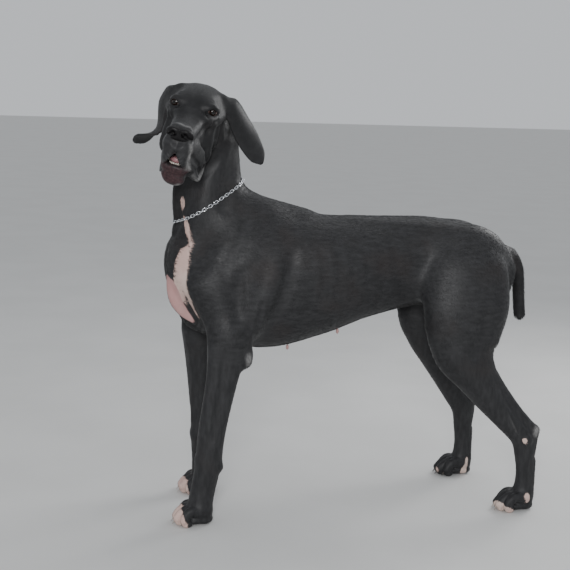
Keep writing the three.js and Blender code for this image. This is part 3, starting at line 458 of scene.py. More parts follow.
@dataclass
class Trunk:
    """Chest, back, loin, croup and belly."""

    withers: float = 772
    back: float = 734
    brisket: float = 406
    tuck: float = 500
    ribs: float = 122
    loin: float = 84

    def spine(self) -> list[Row]:
        """Return the sections from the breastbone to the buttocks."""
        rib, loin, back = self.ribs, self.loin, self.back
        return [(-18, 0, 612, 78, 92, 0.62 * rib), (40, 0, 606, 122, 168, 0.84 * rib),
                (112, 0, 604, self.withers - 616, 596 - self.brisket, 0.95 * rib),
                (200, 0, 600, 153, 595 - self.brisket, rib), (300, 0, 602, back - 598, 163, 0.99 * rib),
                (400, 0, 612, back - 612, 136, 0.88 * rib),
                (500, 0, 622, back - 622, 622 - self.tuck, loin + 3), (590, 0, 622, back - 625, 112, loin),
                (670, 0, 606, 102, 96, loin + 4), (740, 0, 590, 90, 84, loin - 8), (784, 0, 578, 68, 62, 54)]

    def side_forms(self, side: int) -> list[Form]:
        """Return the shoulder, upper arm and haunch of one side."""
        blade = [(148, 46, 728, 44, 22), (84, 80, 650, 54, 28), (14, 84, 572, 42, 44, 32)]
        triceps = [(150, 78, 640, 52, 24), (112, 96, 550, 54, 29), (82, 101, 462, 40, 42, 28)]
        upper_arm = [(8, 82, 575, 38, 32), (40, 96, 500, 40, 38, 30), (60, 102, 440, 40, 36, 29)]
        haunch = [(690, 66, 650, 70, 80, 40), (668, 90, 560, 96, 112, 46)]
        parts = [(44, blade), (44, triceps), (36, upper_arm), (60, haunch)]
        return [Limb(blend, mirror(rows, side), up=BACK_UP) for blend, rows in parts]

    def muscles(self, side: int) -> list[Form]:
        """Return the finer muscles, creases and bones under the skin of one side."""
        rows = [
            [(160, 58, 742, 26, 30, 3), (118, 96, 672, 26, 30, 4), (62, 112, 600, 26, 30, 4)],
            [(172, 96, 650, 30, 40, 5), (156, 118, 570, 32, 40, 6), (120, 128, 480, 30, 40, 5)],
            [(206, 112, 650, 26, 36, -5), (192, 126, 570, 28, 36, -7), (160, 128, 480, 26, 36, -6)],
            [(30, 104, 610, 34, 5), (34, 112, 560, 34, 6), (44, 116, 510, 30, 34, 4)],
            [(78, 116, 610, 20, 30, -4), (80, 128, 550, 22, 30, -5), (76, 132, 490, 20, 30, -4)],
            [(100, 84, 724, 22, 30, -4), (74, 104, 664, 22, 30, -4), (44, 104, 636, 20, 30, -2)],
            [(-52, 34, 650, 40, 34, 6), (-52, 44, 596, 42, 36, 7), (-34, 52, 536, 38, 34, 6)],
            [(380, 40, 726, 26, 24, 3), (500, 44, 714, 28, 26, 5), (610, 46, 704, 28, 4)],
            [(640, 66, 676, 34, 5), (636, 84, 640, 30, 4)],
            [(134, 122, 540, 11, 30, -2.5), (126, 130, 480, 11, 30, -4), (122, 128, 430, 11, 30, -3)],
            [(604, 104, 600, 16, 40, -2.5), (590, 116, 540, 16, 40, -4), (574, 108, 490, 14, 40, -3)],
            [(556, 96, 560, 50, 40, -3), (560, 92, 620, 44, 40, -3)],
            [(500, 72, 512, 26, 30, 3), (556, 96, 490, 28, 34, 6), (598, 122, 452, 30, 36, 6)],
            [(700, 98, 640, 30, 40, 4), (716, 118, 560, 34, 40, 6), (716, 128, 480, 34, 36, 6)],
            [(668, 116, 620, 24, 40, -3), (676, 130, 550, 26, 40, -4), (676, 134, 480, 26, 40, -4)],
            [(760, 48, 650, 34, 4), (790, 50, 596, 36, 6), (770, 60, 530, 34, 5)],
        ]
        ribs = []
        for n in range(6):
            x = 255 + 38 * n
            ribs.append([(x + 6, 96, 660, 12, 30, 0.9), (x + 16, 124, 600, 12, 30, 1.3),
                         (x + 10, 120, 530, 12, 30, 1.2), (x - 16, 100, 470, 12, 30, 0.6)])
        return [Relief(mirror(row, side), up=BACK_UP) for row in rows + ribs]

    def flesh(self) -> Flesh:
        """Return the whole trunk."""
        neck_root = [(70, 0, 742, 24, 40, 30), (150, 0, 748, 23, 40, 30), (250, 0, 722, 20, 40, 32)]
        sternum = [(-70, 0, 650, 34, 14, -4), (-70, 0, 620, 34, 15, -5), (-60, 4, 560, 34, 14, -4)]
        back_line = [(230, 0, 752, 26, 12, -2), (400, 0, 738, 26, 12, -3), (600, 0, 720, 26, 12, -3)]
        forms = [
            Limb(30, self.spine(), square=2.25, caps=(0.55, 0.35)),
            Limb(46, neck_root),
            Swelling(40, (-24, 0, 622), (46, 64, 74)),
            Swelling(40, (-4, 0, 528), (43, 50, 72)),
        ]
        forms += both(self.side_forms) + both(self.muscles)
        fold = [(-66, -14, 612, 6), (-66, -26, 586, 11), (-62, -32, 556, 15, 14),
                (-52, -36, 528, 16, 14), (-34, -38, 502, 12, 11), (-12, -44, 482, 6)]
        forms += [Relief(sternum, up=BACK_UP), Relief(back_line), Limb(9, fold, up=BACK_UP)]
        forms += [Swelling(3, spot, (4.5, 4.5, 7.5)) for side in Side
                  for spot in mirror(STANCE.nipples, side)]
        return Flesh(forms)


def mirror(rows: Sequence[Row], side: int) -> list[Row]:
    """Return rows given for the positive side on the asked side."""
    return [(row[0], row[1] * side, *row[2:]) for row in rows]


@dataclass
class Neck:
    """The arched neck, its throat and the folds of loose skin."""

    def flesh(self) -> Flesh:
        """Return the neck from the head to the shoulders."""
        axis = [(0, -34, 985, 54, 52, 54), (14, -16, 930, 72, 62, 60), (20, -4, 868, 76, 74, 66),
                (24, 0, 800, 84, 72), (46, 0, 725, 104, 100, 84), (84, 0, 650, 100, 110, 90)]
        return Flesh([Limb(34, axis, up=BACK_UP)] + self.folds())

    def folds(self) -> list[Form]:
        """Return the folds of loose skin round the throat and the neck's side muscles."""
        mastoid = [(50, -62, 905, 30, 40, 5), (26, -66, 850, 32, 40, 6), (0, -66, 780, 32, 40, 6),
                   (-28, -50, 700, 32, 40, 6)]
        behind = [(82, -50, 890, 24, 40, -4), (64, -60, 830, 26, 40, -5), (48, -70, 760, 26, 40, -5)]
        rows = [mastoid, mirror(mastoid, RIGHT * LEFT), behind, mirror(behind, RIGHT * LEFT)]
        rows += [
            [(-40, -60, 880, 22, 24, 6), (-52, -36, 830, 22, 24, 7), (-60, -12, 770, 22, 24, 6),
             (-62, -4, 700, 22, 24, 5)],
            [(-22, -80, 876, 18, 16, -5), (-40, -58, 826, 18, 16, -6), (-50, -34, 770, 18, 16, -5),
             (-54, -26, 716, 18, 16, -4)],
            [(-52, -22, 850, 16, 14, -4), (-62, 6, 790, 16, 14, -4), (-64, 14, 730, 16, 14, -3)],
            [(46, -80, 940, 22, 5), (26, -84, 892, 22, 6), (0, -88, 862, 22, 6), (-26, -84, 842, 22, 5)],
            [(30, -80, 866, 14, 18, -5), (6, -82, 838, 14, 18, -6), (-20, -76, 820, 14, 18, -4)],
        ]
        return [Relief(row, up=BACK_UP) for row in rows]


@dataclass(frozen=True)
class Paw:
    """Sizes of one paw and where its four toes lie."""

    foot: float
    y: float
    length: float
    half: float
    heel: float

    def toes(self) -> list[Triple]:
        """Return how far each toe spreads, and its tip and knuckle forward of the leg."""
        rows = []
        for share in (-1, -0.36, 0.36, 1):
            inner = 1 - abs(share)
            rows.append((share * (self.half - 9), self.length - 15 * (1 - inner * 1.5),
                         0.5 * self.length - 8 * (1 - inner)))
        return rows

    def forms(self) -> list[Form]:
        """Return the toes over their pads, with a broad pad behind them."""
        foot, y = self.foot, self.y
        forms: list[Form] = [
            Swelling(10, (foot - 6, y, 34), (30, self.half - 5, 24)),
            Swelling(7, (foot + self.heel - 22, y, 11), (23, self.half - 11, 13)),
            Swelling(8, (foot - 0.3 * self.length, y, 12), (28, self.half - 8, 13)),
            Swelling(10, (foot + self.heel - 16, y, 27), (15, self.half - 13, 20)),
        ]
        for spread, tip, knuckle in self.toes():
            place = y + spread
            toe = [(foot - 2, y + 0.7 * spread, 34, 14, 12.2),
                   (foot - knuckle, y + 0.9 * spread, 38, 12.5, 14, 11.6),
                   (foot - 0.5 * (knuckle + tip) + 2, y + 0.97 * spread, 28, 12.5, 13, 11.2),
                   (foot - tip + 12, place, 17, 12.5, 13, 11)]
            forms.append(Limb(3.5, toe, caps=(1, 0.9)))
            forms.append(Swelling(3, (foot - tip + 17, place, 8), (13, 9.4, 9)))
        return forms


@dataclass
class ForeLeg:
    """One front leg from the upper arm to the paw."""

    side: int

    def paw(self) -> Paw:
        """Return the paw under this leg."""
        return Paw(STANCE.fore_foot[self.side], STANCE.fore_y[self.side], 67, 37, 30)

    def down(self, share: float) -> float:
        """Return how far back the leg's line is at a share of the way down."""
        elbow, foot = STANCE.elbow[self.side], STANCE.fore_foot[self.side]
        return elbow + (foot - elbow) * share

    def flesh(self) -> Flesh:
        """Return the leg with its muscles, wrist, tendons and paw."""
        side, y, down = self.side, STANCE.fore_y[self.side], self.down
        elbow = STANCE.elbow[side]
        rows = [(down(-0.12), y + 2 * side, 470, 44, 46, 32), (down(0), y, 426, 47, 35),
                (down(0.2), y, 356, 38, 36, 32), (down(0.5), y, 262, 34, 32, 27),
                (down(0.66), y, 182, 30, 31, 28), (down(0.72), y, 142, 31, 29),
                (down(0.88), y, 90, 28, 30, 26), (down(1), y, 42, 30, 32, 30)]
        extensor = [(down(0.02) - 30, y + 14 * side, 430, 12), (down(0.25) - 24, y + 15 * side, 340, 12, 11),
                    (down(0.55) - 18, y + 8 * side, 240, 9, 8)]
        flexor = [(down(0.08) + 22, y + 14 * side, 400, 14, 12),
                  (down(0.3) + 18, y + 12 * side, 320, 12, 10), (down(0.6) + 20, y + 4 * side, 220, 8),
                  (down(0.7) + 24, y, 160, 7)]
        groove = [(down(0.0) - 6, y + 36 * side, 430, 14, 20, -3),
                  (down(0.3) - 2, y + 30 * side, 330, 13, 20, -4),
                  (down(0.62), y + 25 * side, 210, 11, 18, -3)]
        tendon = [(down(0.74) + 20, y, 128, 9, 8), (down(0.9) + 22, y, 88, 8), (down(1) + 16, y, 50, 9, 10)]
        vein = [(down(0.3) - 26, y - 20 * side, 330, 9, 1.4), (down(0.5) - 29, y - 10 * side, 262, 9, 1.6),
                (down(0.7) - 28, y - 4 * side, 190, 9, 1.2)]
        return Flesh([
            Limb(20, rows, up=BACK_UP),
            Limb(16, extensor, up=BACK_UP), Limb(16, flexor, up=BACK_UP),
            Relief(groove, up=BACK_UP), Relief(vein, up=BACK_UP),
            Swelling(24, (elbow + 46, y + 2 * side, 406), (17, 13, 24)),
            Swelling(10, (down(0.7) - 20, y, 158), (12, 19, 16)),
            Swelling(9, (down(0.72) + 27, y + 4 * side, 140), (11, 10, 13)),
            Limb(10, tendon, up=BACK_UP),
        ] + self.paw().forms())


@dataclass
class HindLeg:
    """One hind leg from the thigh to the paw."""

    side: int

    def paw(self) -> Paw:
        """Return the paw under this leg."""
        return Paw(STANCE.hind_foot[self.side], STANCE.hind_y[self.side], 77, 33, 26)

    def back(self, share: float) -> float:
        """Return how far back the leg's line is at a share of the way from stifle to foot."""
        stifle, foot = STANCE.stifle[self.side], STANCE.hind_foot[self.side]
        return stifle + (foot - stifle) * share

    def out(self, share: float) -> float:
        """Return how far to the side the leg's line is."""
        return (STANCE.hind_y[self.side] - 98 * self.side) * share + 98 * self.side

    def flesh(self) -> Flesh:
        """Return the leg with its muscles, heel tendon, hock and paw."""
        side, back, out = self.side, self.back, self.out
        rows = [(672, 92 * side, 590, 90, 104, 48), (664, out(0.1), 520, 97, 116, 54),
                (652, out(0.15), 455, 92, 98, 52), (STANCE.stifle[side] + 8, out(0.2), 402, 84, 72, 47),
                (back(0.22), out(0.35), 345, 62, 50, 39), (back(0.44), out(0.5), 290, 46, 38, 32),
                (back(0.7), out(0.75), 238, 38, 33, 26), (back(0.93), out(0.9), 190, 34, 30, 24),
                (back(0.99), out(1), 140, 25, 27, 20), (back(1.01), out(1), 90, 23, 24, 19),
                (back(1.0), out(1), 46, 26, 27, 24)]
        heel_tendon = [(back(0.48), out(0.5), 345, 15, 13), (back(0.84), out(0.8), 258, 13, 11),
                       (back(1.08), out(0.95), 208, 15, 14, 13)]
        heel = [(back(1.11), out(0.95), 206, 14, 12), (back(1.05), out(1), 150, 13, 11)]
        gaskin = [(back(0.0) - 8, out(0.2) + 26 * side, 410, 30, 16),
                  (back(0.2), out(0.3) + 22 * side, 345, 24, 15),
                  (back(0.46), out(0.5) + 14 * side, 286, 16, 12)]
        hollow_heel = [(back(0.5) + 18, out(0.55) + 26 * side, 300, 13, 20, -4),
                       (back(0.74) + 14, out(0.74) + 22 * side, 254, 14, 20, -8),
                       (back(0.94) + 12, out(0.9) + 20 * side, 216, 12, 18, -5)]
        hollow_inner = [(row[0], 2 * out(0.74) - row[1], *row[2:]) for row in hollow_heel]
        ham = [(726, 96 * side, 580, 28, 22), (722, out(0.1) + 14 * side, 510, 30, 20),
               (700, out(0.2) + 14 * side, 430, 26, 16)]
        groove = [(690, 126 * side, 560, 20, 34, -3), (686, out(0.1) + 46 * side, 490, 22, 34, -4),
                  (666, out(0.2) + 44 * side, 410, 20, 30, -4)]
        tendon = [(back(1.03) + 15, out(1), 130, 7, 8), (back(1.03) + 16, out(1), 84, 7, 8),
                  (back(1.02) + 14, out(1), 48, 9, 10)]
        return Flesh([
            Limb(24, rows, up=(1, 0, 0.55)),
            Limb(12, heel_tendon, up=(1, 0, 0.5)), Limb(12, heel, up=BACK_UP),
            Limb(22, gaskin, up=(1, 0, 0.5)), Limb(22, ham, up=BACK_UP),
            Relief(groove, up=BACK_UP),
            Relief(hollow_heel, up=(1, 0, 0.5)), Relief(hollow_inner, up=(1, 0, 0.5)),
            Swelling(16, (STANCE.stifle[side] - 62, out(0.2) + 4 * side, 446), (17, 20, 30)),
            Swelling(8, (back(0.97), out(1) + 17 * side, 186), (13, 8, 14)),
            Swelling(8, (back(0.97), out(1) - 17 * side, 186), (13, 8, 14)),
            Limb(9, tendon, up=BACK_UP),
        ] + self.paw().forms())


@dataclass
class Tail:
    """The short tail, thick at its root and blunt at its tip."""

    def flesh(self) -> Flesh:
        """Return the tail."""
        rows = [(760, 0, 640, 26, 30, 30), (806, 0, 634, 20, 24, 21), (832, 0, 604, 15, 17, 17),
                (840, 0, 560, 13.5, 14, 14.5), (845, 0, 515, 14), (850, 0, 482, 14, 15, 13)]
        return Flesh([Limb(20, rows, up=(1, 0, 1), caps=(0.8, 1))])


@dataclass
class Eye:
    """One eyeball and the lids round it; side is 1 on her left."""

    side: int
    back: float = 10
    apart: float = 80
    radius: float = 12.6
    turn: float = 24

    def centre(self) -> Array:
        """Return the middle of the eyeball in the head's frame."""
        return np.array((-self.back, 0.5 * self.apart * self.side, 0))

    def spot(self, ahead: float, across: float, high: float) -> Array:
        """Return a place given from the eyeball's middle, across being towards the outer corner."""
        angle = math.radians(self.turn)
        forward = ahead * math.cos(angle) - across * math.sin(angle)
        outward = (ahead * math.sin(angle) + across * math.cos(angle)) * self.side
        return self.centre() + (forward, outward, high)

    def lid_rows(self, wide: float, over: float, under: float, shell: float, thick: float) -> list[Row]:
        """Return rows round the almond opening between the lids."""
        rows = []
        for step in range(17):
            angle = 2 * math.pi * step / 16
            across = wide * math.cos(angle)
            lift = over if math.sin(angle) > 0 else under
            high = lift * math.sin(angle) * (1 - 0.25 * math.cos(angle) ** 2) - 0.12 * across
            ahead = math.sqrt(max(shell ** 2 - across ** 2 - high ** 2, 9))
            heavy = thick * (1.25 if math.sin(angle) > 0.3 else 1.0)
            rows.append((*self.spot(ahead, across, high), heavy))
        return rows

    def socket(self) -> list[Form]:
        """Return the pit round the eye, cut before the lids are laid on."""
        turn = (0, 0, self.turn * self.side)
        return [
            Swelling(7, self.spot(14, 0, -1), (8, 12, 8.5), turn=turn, hollow=True),
            Swelling(6, self.spot(15, -14, -3), (5, 5, 3), turn=turn, hollow=True),
        ]

    def lids(self) -> list[Form]:
        """Return the rims of both lids, the fold over the eye and the pouch under it."""
        side = self.side
        inner, outer = self.spot(12, -15, -2), self.spot(4, 16, -5)
        over = [(*self.spot(11, -13, 9), 3), (*self.spot(13, -2, 14), 4),
                (*self.spot(7, 12, 8), 2.8), (*self.spot(1, 18, -2), 2)]
        pouch = [(*self.spot(12, -13, -9), 2.5), (*self.spot(13, 0, -14), 3.4), (*self.spot(7, 13, -12), 3)]
        crease = [(*self.spot(14, -15, -15), 7, -1.6), (*self.spot(14, 2, -21), 7, -2.2),
                  (*self.spot(6, 16, -18), 7, -1.6)]
        ahead = (1, 0.3 * side, 0)
        return [
            Limb(3, self.lid_rows(13.2, 9.2, 9.0, 14.8, 2.4), up=ahead, steps=3),
            Limb(6, over, up=ahead), Limb(6, pouch, up=ahead),
            Relief(crease, up=ahead),
            Swelling(4, inner, (3, 4, 2.6)), Swelling(4, outer, (3, 3, 2.4)),
        ]


EYES = (Eye(1), Eye(-1))


@dataclass
class Head:
    """Skull, muzzle, lips and lower jaw, in the head's frame."""

    length: float = 128
    half: float = 36
    jaw_tip: float = 106
    lip: float = -98
    under: float = -156
    jaw_half: float = 29

    def core(self) -> list[Form]:
        """Return the skull, the muzzle and the floor of the head, and the open mouth."""
        length, half = self.length, self.half
        skull = [(-136, 0, -2, 20, 34, 30), (-104, 0, -4, 36, 50, 50), (-60, 0, -5, 40, 54, 57),
                 (-20, 0, -6, 36, 42, 52), (12, 0, -16, 23, 30, 38)]
        muzzle = [(4, 0, -42, 32, 34, 36), (44, 0, -42, 31, 34, half - 1), (84, 0, -44, 30, 32, half - 4),
                  (length - 16, 0, -44, 28, half - 7)]
        floor = [(-74, 0, -56, 40, 46, 44), (-24, 0, -62, 40, 46, 38), (22, 0, -64, 30, 33)]
        mouth = [(length + 16, 0, -90, 15, 44, 12), (96, 0, -97, 21, 44, 22), (44, 0, -102, 21, 40, 25),
                 (20, 0, -105, 13, 30, 22)]
        return [
            Limb(14, skull, square=2.4),
            Limb(18, muzzle, square=2.9, caps=(0.5, 0.4)),
            Limb(20, floor),
            Limb(6, mouth, square=2.4, caps=(0.3, 0.3), hollow=True),
        ]

    def midline(self) -> list[Form]:
        """Return the furrow of the forehead, the stop and the groove under the nose."""
        length = self.length
        furrow = [(20, 0, 4, 18, 15, -2), (-2, 0, 26, 18, 15, -3.5), (-44, 0, 42, 18, 15, -2),
                  (-90, 0, 42, 18, 12, -1)]
        groove = [(length, 0, -48, 6, 5, -1.8), (length - 1, 0, -62, 6, 5, -1.8),
                  (length - 2, 0, -70, 6, 5, -1.6)]
        bridge = [(4, 0, -2, 16, 24, 4), (26, 0, -12, 16, 22, 4), (60, 0, -12, 14, 20, 3),
                  (100, 0, -14, 14, 22, 2.5)]
        return [
            Relief(furrow), Relief(bridge), Relief(groove, up=BACK_UP),
            Swelling(10, (-126, 0, 16), (18, 9, 9)),
            Swelling(14, (length - 16, 0, -19), (11, 20, 6)),
        ]

    def side_forms(self, side: int) -> list[Form]:
        """Return brow, cheek, ear root and lips of one side."""
        length = self.length
        zygoma = [(4, 43, -24, 9, 10, 8), (-36, 56, -20, 12, 13, 10), (-84, 58, -6, 12, 13, 9)]
        hang = 1.0 if side > 0 else 0.78
        flew = [(length - 5, 10, -58, 11, 12, 9.5), (length - 12, 20, -69, 24, 28, 9.5),
                (88, 26, -84, 32, 31, 10), (60, 33 * hang, -92, 30, 36, 9.5),
                (36, 41 * hang, -104, 26, 45, 8), (22, 46 * hang, -110, 20, 44, 7.5),
                (8, 46 * hang, -108, 14, 28, 8), (-10, 44, -100, 10, 14, 8)]
        rim = [(length - 6, 5, -71, 3.5), (length - 9, 13, -83, 4), (length - 18, 21, -95, 4.5),
               (92, 27 * hang, -109, 5), (66, 34 * hang, -122, 5, 4.5), (44, 41 * hang, -140, 4.5, 4),
               (30, 48 * hang, -152, 4.2, 4), (19, 51 * hang, -144, 4), (10, 52 * hang, -126, 4),
               (6, 51 * hang, -108, 4)]
        reliefs = [
            [(18, 40, -28, 12, 16, -3), (46, 36, -38, 13, 16, -4), (80, 32, -42, 12, 14, -3)],
            [(60, 38, -68, 20, 2.5), (88, 34, -66, 20, 3.5), (108, 24, -62, 16, 2.5)],
            [(116, 20, -58, 8, 12, -2), (98, 34, -80, 9, 12, -2.4), (74, 40, -96, 9, 12, -2.6),
             (50, 46, -110, 9, 12, -3)],
            [(4, 48, -28, 9, 16, -3), (10, 48, -54, 10, 16, -4), (12, 50, -84, 10, 16, -4.5),
             (8, 52, -108, 9, 16, -3)],
            [(-8, 52, -34, 12, 16, 3), (-6, 52, -62, 13, 16, 4), (-6, 54, -92, 13, 16, 5),
             (-14, 56, -122, 13, 16, 4)],
            [(-30, 60, -38, 12, 20, -3), (-28, 60, -72, 12, 20, -4), (-30, 62, -108, 12, 20, -4)],
            [(-52, 58, -16, 11, 16, 3), (-62, 64, -40, 12, 16, 4), (-68, 68, -68, 12, 16, 4)],
            [(-44, 62, -30, 9, 16, -2.5), (-48, 64, -56, 9, 16, -3), (-54, 66, -84, 9, 16, -3)],
            [(-30, 48, 22, 20, -4), (-60, 56, 22, 20, -5)],
            [(40, 44, -122, 9, 12, -4), (26, 53, -136, 10, 12, -6), (18, 54, -122, 9, 12, -5)],
            [(24, 24, 8, 10, 12, -2), (2, 34, -22, 9, 12, -3)],
        ]
        return [
            Swelling(22, (-10, 28 * side, 11), (22, 13, 7), turn=(0, 0, 24 * side)),
            Limb(18, mirror(zygoma, side)),
            Swelling(18, (-14, 42 * side, -82), (30, 15, 34)),
            Swelling(18, (-56, 46 * side, -58), (42, 20, 46), turn=(0, -12, -6 * side)),
            Swelling(16, (-82, 50 * side, 2), (22, 16, 22)),
            Limb(14, mirror(flew, side), caps=(0.5, 0.5)),
            Limb(4, mirror(rim, side)),
        ] + [Relief(mirror(row, side)) for row in reliefs]

    def jaw(self) -> list[Form]:
        """Return the lower jaw, its lips and its chin."""
        tip, lip, under, half = self.jaw_tip, self.lip, self.under, self.jaw_half
        bone = [(tip - 18, 0, 0.5 * (lip + under), 22, 28, half), (tip - 50, 0, -122, 20, 26, half - 1),
                (24, 0, -108, 18, 24, half), (-24, 0, -96, 18, 26, half + 3)]
        trough = [(tip - 14, 0, lip + 2, 10, 13, 16), (tip - 30, 0, lip + 4, 12, 15),
                  (40, 0, -88, 12, 10, 15), (0, 0, -78, 12, 10, 14)]
        forms: list[Form] = [
            Limb(14, bone, square=2.3, caps=(0.66, 0.2)),
            Limb(5, trough, hollow=True),
            Swelling(10, (tip - 22, 4, under + 10), (16, 22, 12)),
        ]
        for side in Side:
            lips = [(tip - 5, 4, lip - 15, 6, 12, 7), (tip - 10, 18, lip - 17, 6.5, 14, 7.5),
                    (tip - 38, 27, lip - 12, 7, 12, 6), (30, 34, -114, 6, 10, 6)]
            crease = [(tip + 2, 8, lip - 30, 9, 10, -2.5), (tip - 6, 26, lip - 32, 9, 10, -3),
                      (tip - 38, 33, lip - 28, 9, 10, -3)]
            forms += [Limb(6, mirror(lips, side)), Relief(mirror(crease, side))]
        return forms

    def flesh(self) -> list[Flesh]:
        """Return the upper head with its lids, and the lower jaw."""
        upper = self.core() + self.midline() + both(self.side_forms)
        parting = [(152, 0, -104, 28, 30, 15), (112, 0, -105, 27, 30, 16), (94, 0, -106, 22, 30, 18)]
        upper.append(Limb(4, parting, square=1.35, caps=(0.3, 0.3), hollow=True))
        for eye in EYES:
            upper += eye.socket()
        for eye in EYES:
            upper += eye.lids()
        return [Flesh(upper, HEAD_PLACE), Flesh(self.jaw(), HEAD_PLACE)]


@dataclass
class Ear:
    """A hanging ear: a cupped leaf along a path from its root to its tip, in the head's frame."""

    path: Sequence[Row]
    across: Sequence[Row]
    cup: float
    width: float = 76
    thick: float = 6.6

    def rows(self) -> tuple[list[Row], list[Array]]:
        """Return the leaf's rows and the direction of its width at each."""
        spots, ways = np.array(self.path, float), np.array(self.across, float)
        last, count = len(spots) - 1, 12
        rows, hints = [], []
        for n in range(count + 1):
            t = n / count
            k = min(t * last, last - 1e-4)
            i = int(k)
            around = [min(max(i + step, 0), last) for step in (-1, 0, 1, 2)]
            spot = glide(*(spots[a] for a in around), k - i)
            swell = 0.68 + 0.32 * math.sin(0.5 * math.pi * min(t / 0.4, 1))
            taper = math.sqrt(max(1 - (max(t - 0.5, 0) / 0.5) ** 3, 0.04))
            curl = self.cup * ((1 - t) ** 1.2 + 0.2)
            rows.append((*spot, 0.5 * self.width * swell * taper, self.thick * (1 - 0.08 * t), curl))
            hints.append(unit(ways[i] + (ways[i + 1] - ways[i]) * (k - i)))
        return rows, hints

    def strip(self, *half: float) -> tuple[Row, ...]:
        """Return the path in the stance frame, with half a width in each row if one is given."""
        return tuple((*from_head(*spot), *half) for spot in self.path)

    def flesh(self) -> Flesh:
        """Return the leaf."""
        rows, hints = self.rows()
        return Flesh([Leaf(9, rows, up=hints, steps=2)], HEAD_PLACE)


LEFT_EAR = Ear(
    path=[(-80, 44, 4), (-84, 76, 6), (-92, 103, -30), (-94, 133, -68), (-96, 171, -112)],
    across=[(1, 0, -0.5), (1, -0.1, -0.5), (0.84, -0.35, -0.4), (0.74, -0.42, -0.5), (0.7, -0.6, -0.4)],
    cup=0.5,
    width=68,
)
RIGHT_EAR = Ear(
    path=[(-84, -44, 2), (-76, -70, 7), (-68, -82, -32), (-66, -80, -90), (-62, -127, -133)],
    across=[(1, 0, 0), (0.9, 0.36, 0), (0.88, 0.42, 0), (0.85, 0.3, 0.25), (0.4, 0.1, 0.95)],
    cup=-0.3,
)
EARS = (LEFT_EAR, RIGHT_EAR)
EAR_HALF = 46


CORNERS = np.array([(n & 1, n >> 1 & 1, n >> 2 & 1) for n in range(8)])
CELL_EDGES = [(a, a | 1 << axis) for axis in range(3) for a in range(8) if not a >> axis & 1]


def sheet_table() -> tuple[Array, Array]:
    """Return, for each pattern of corners inside, the sheet of every cell edge and the sheet count."""
    sheets = np.full((256, 12), -1, dtype=np.int64)
    counts = np.zeros(256, dtype=np.int64)
    faces = [[n for n in range(8) if (n >> axis & 1) == side] for axis in range(3) for side in (0, 1)]
    for pattern in range(256):
        inside = [bool(pattern >> n & 1) for n in range(8)]
        crossed = [e for e, (a, b) in enumerate(CELL_EDGES) if inside[a] != inside[b]]
        group = {e: e for e in crossed}
        for face in faces:
            own = [e for e in crossed if CELL_EDGES[e][0] in face and CELL_EDGES[e][1] in face]
            pairs = [own] if len(own) == 2 else [
                [e for e in own if corner in CELL_EDGES[e]]
                for corner in face if inside[corner] and len(own) == 4]
            for a, b in (pair for pair in pairs if len(pair) == 2):
                old, new = group[a], group[b]
                group = {e: new if name == old else name for e, name in group.items()}
        names = sorted(set(group.values()))
        for e, name in group.items():
            sheets[pattern, e] = names.index(name)
        counts[pattern] = len(names)
    return sheets, counts


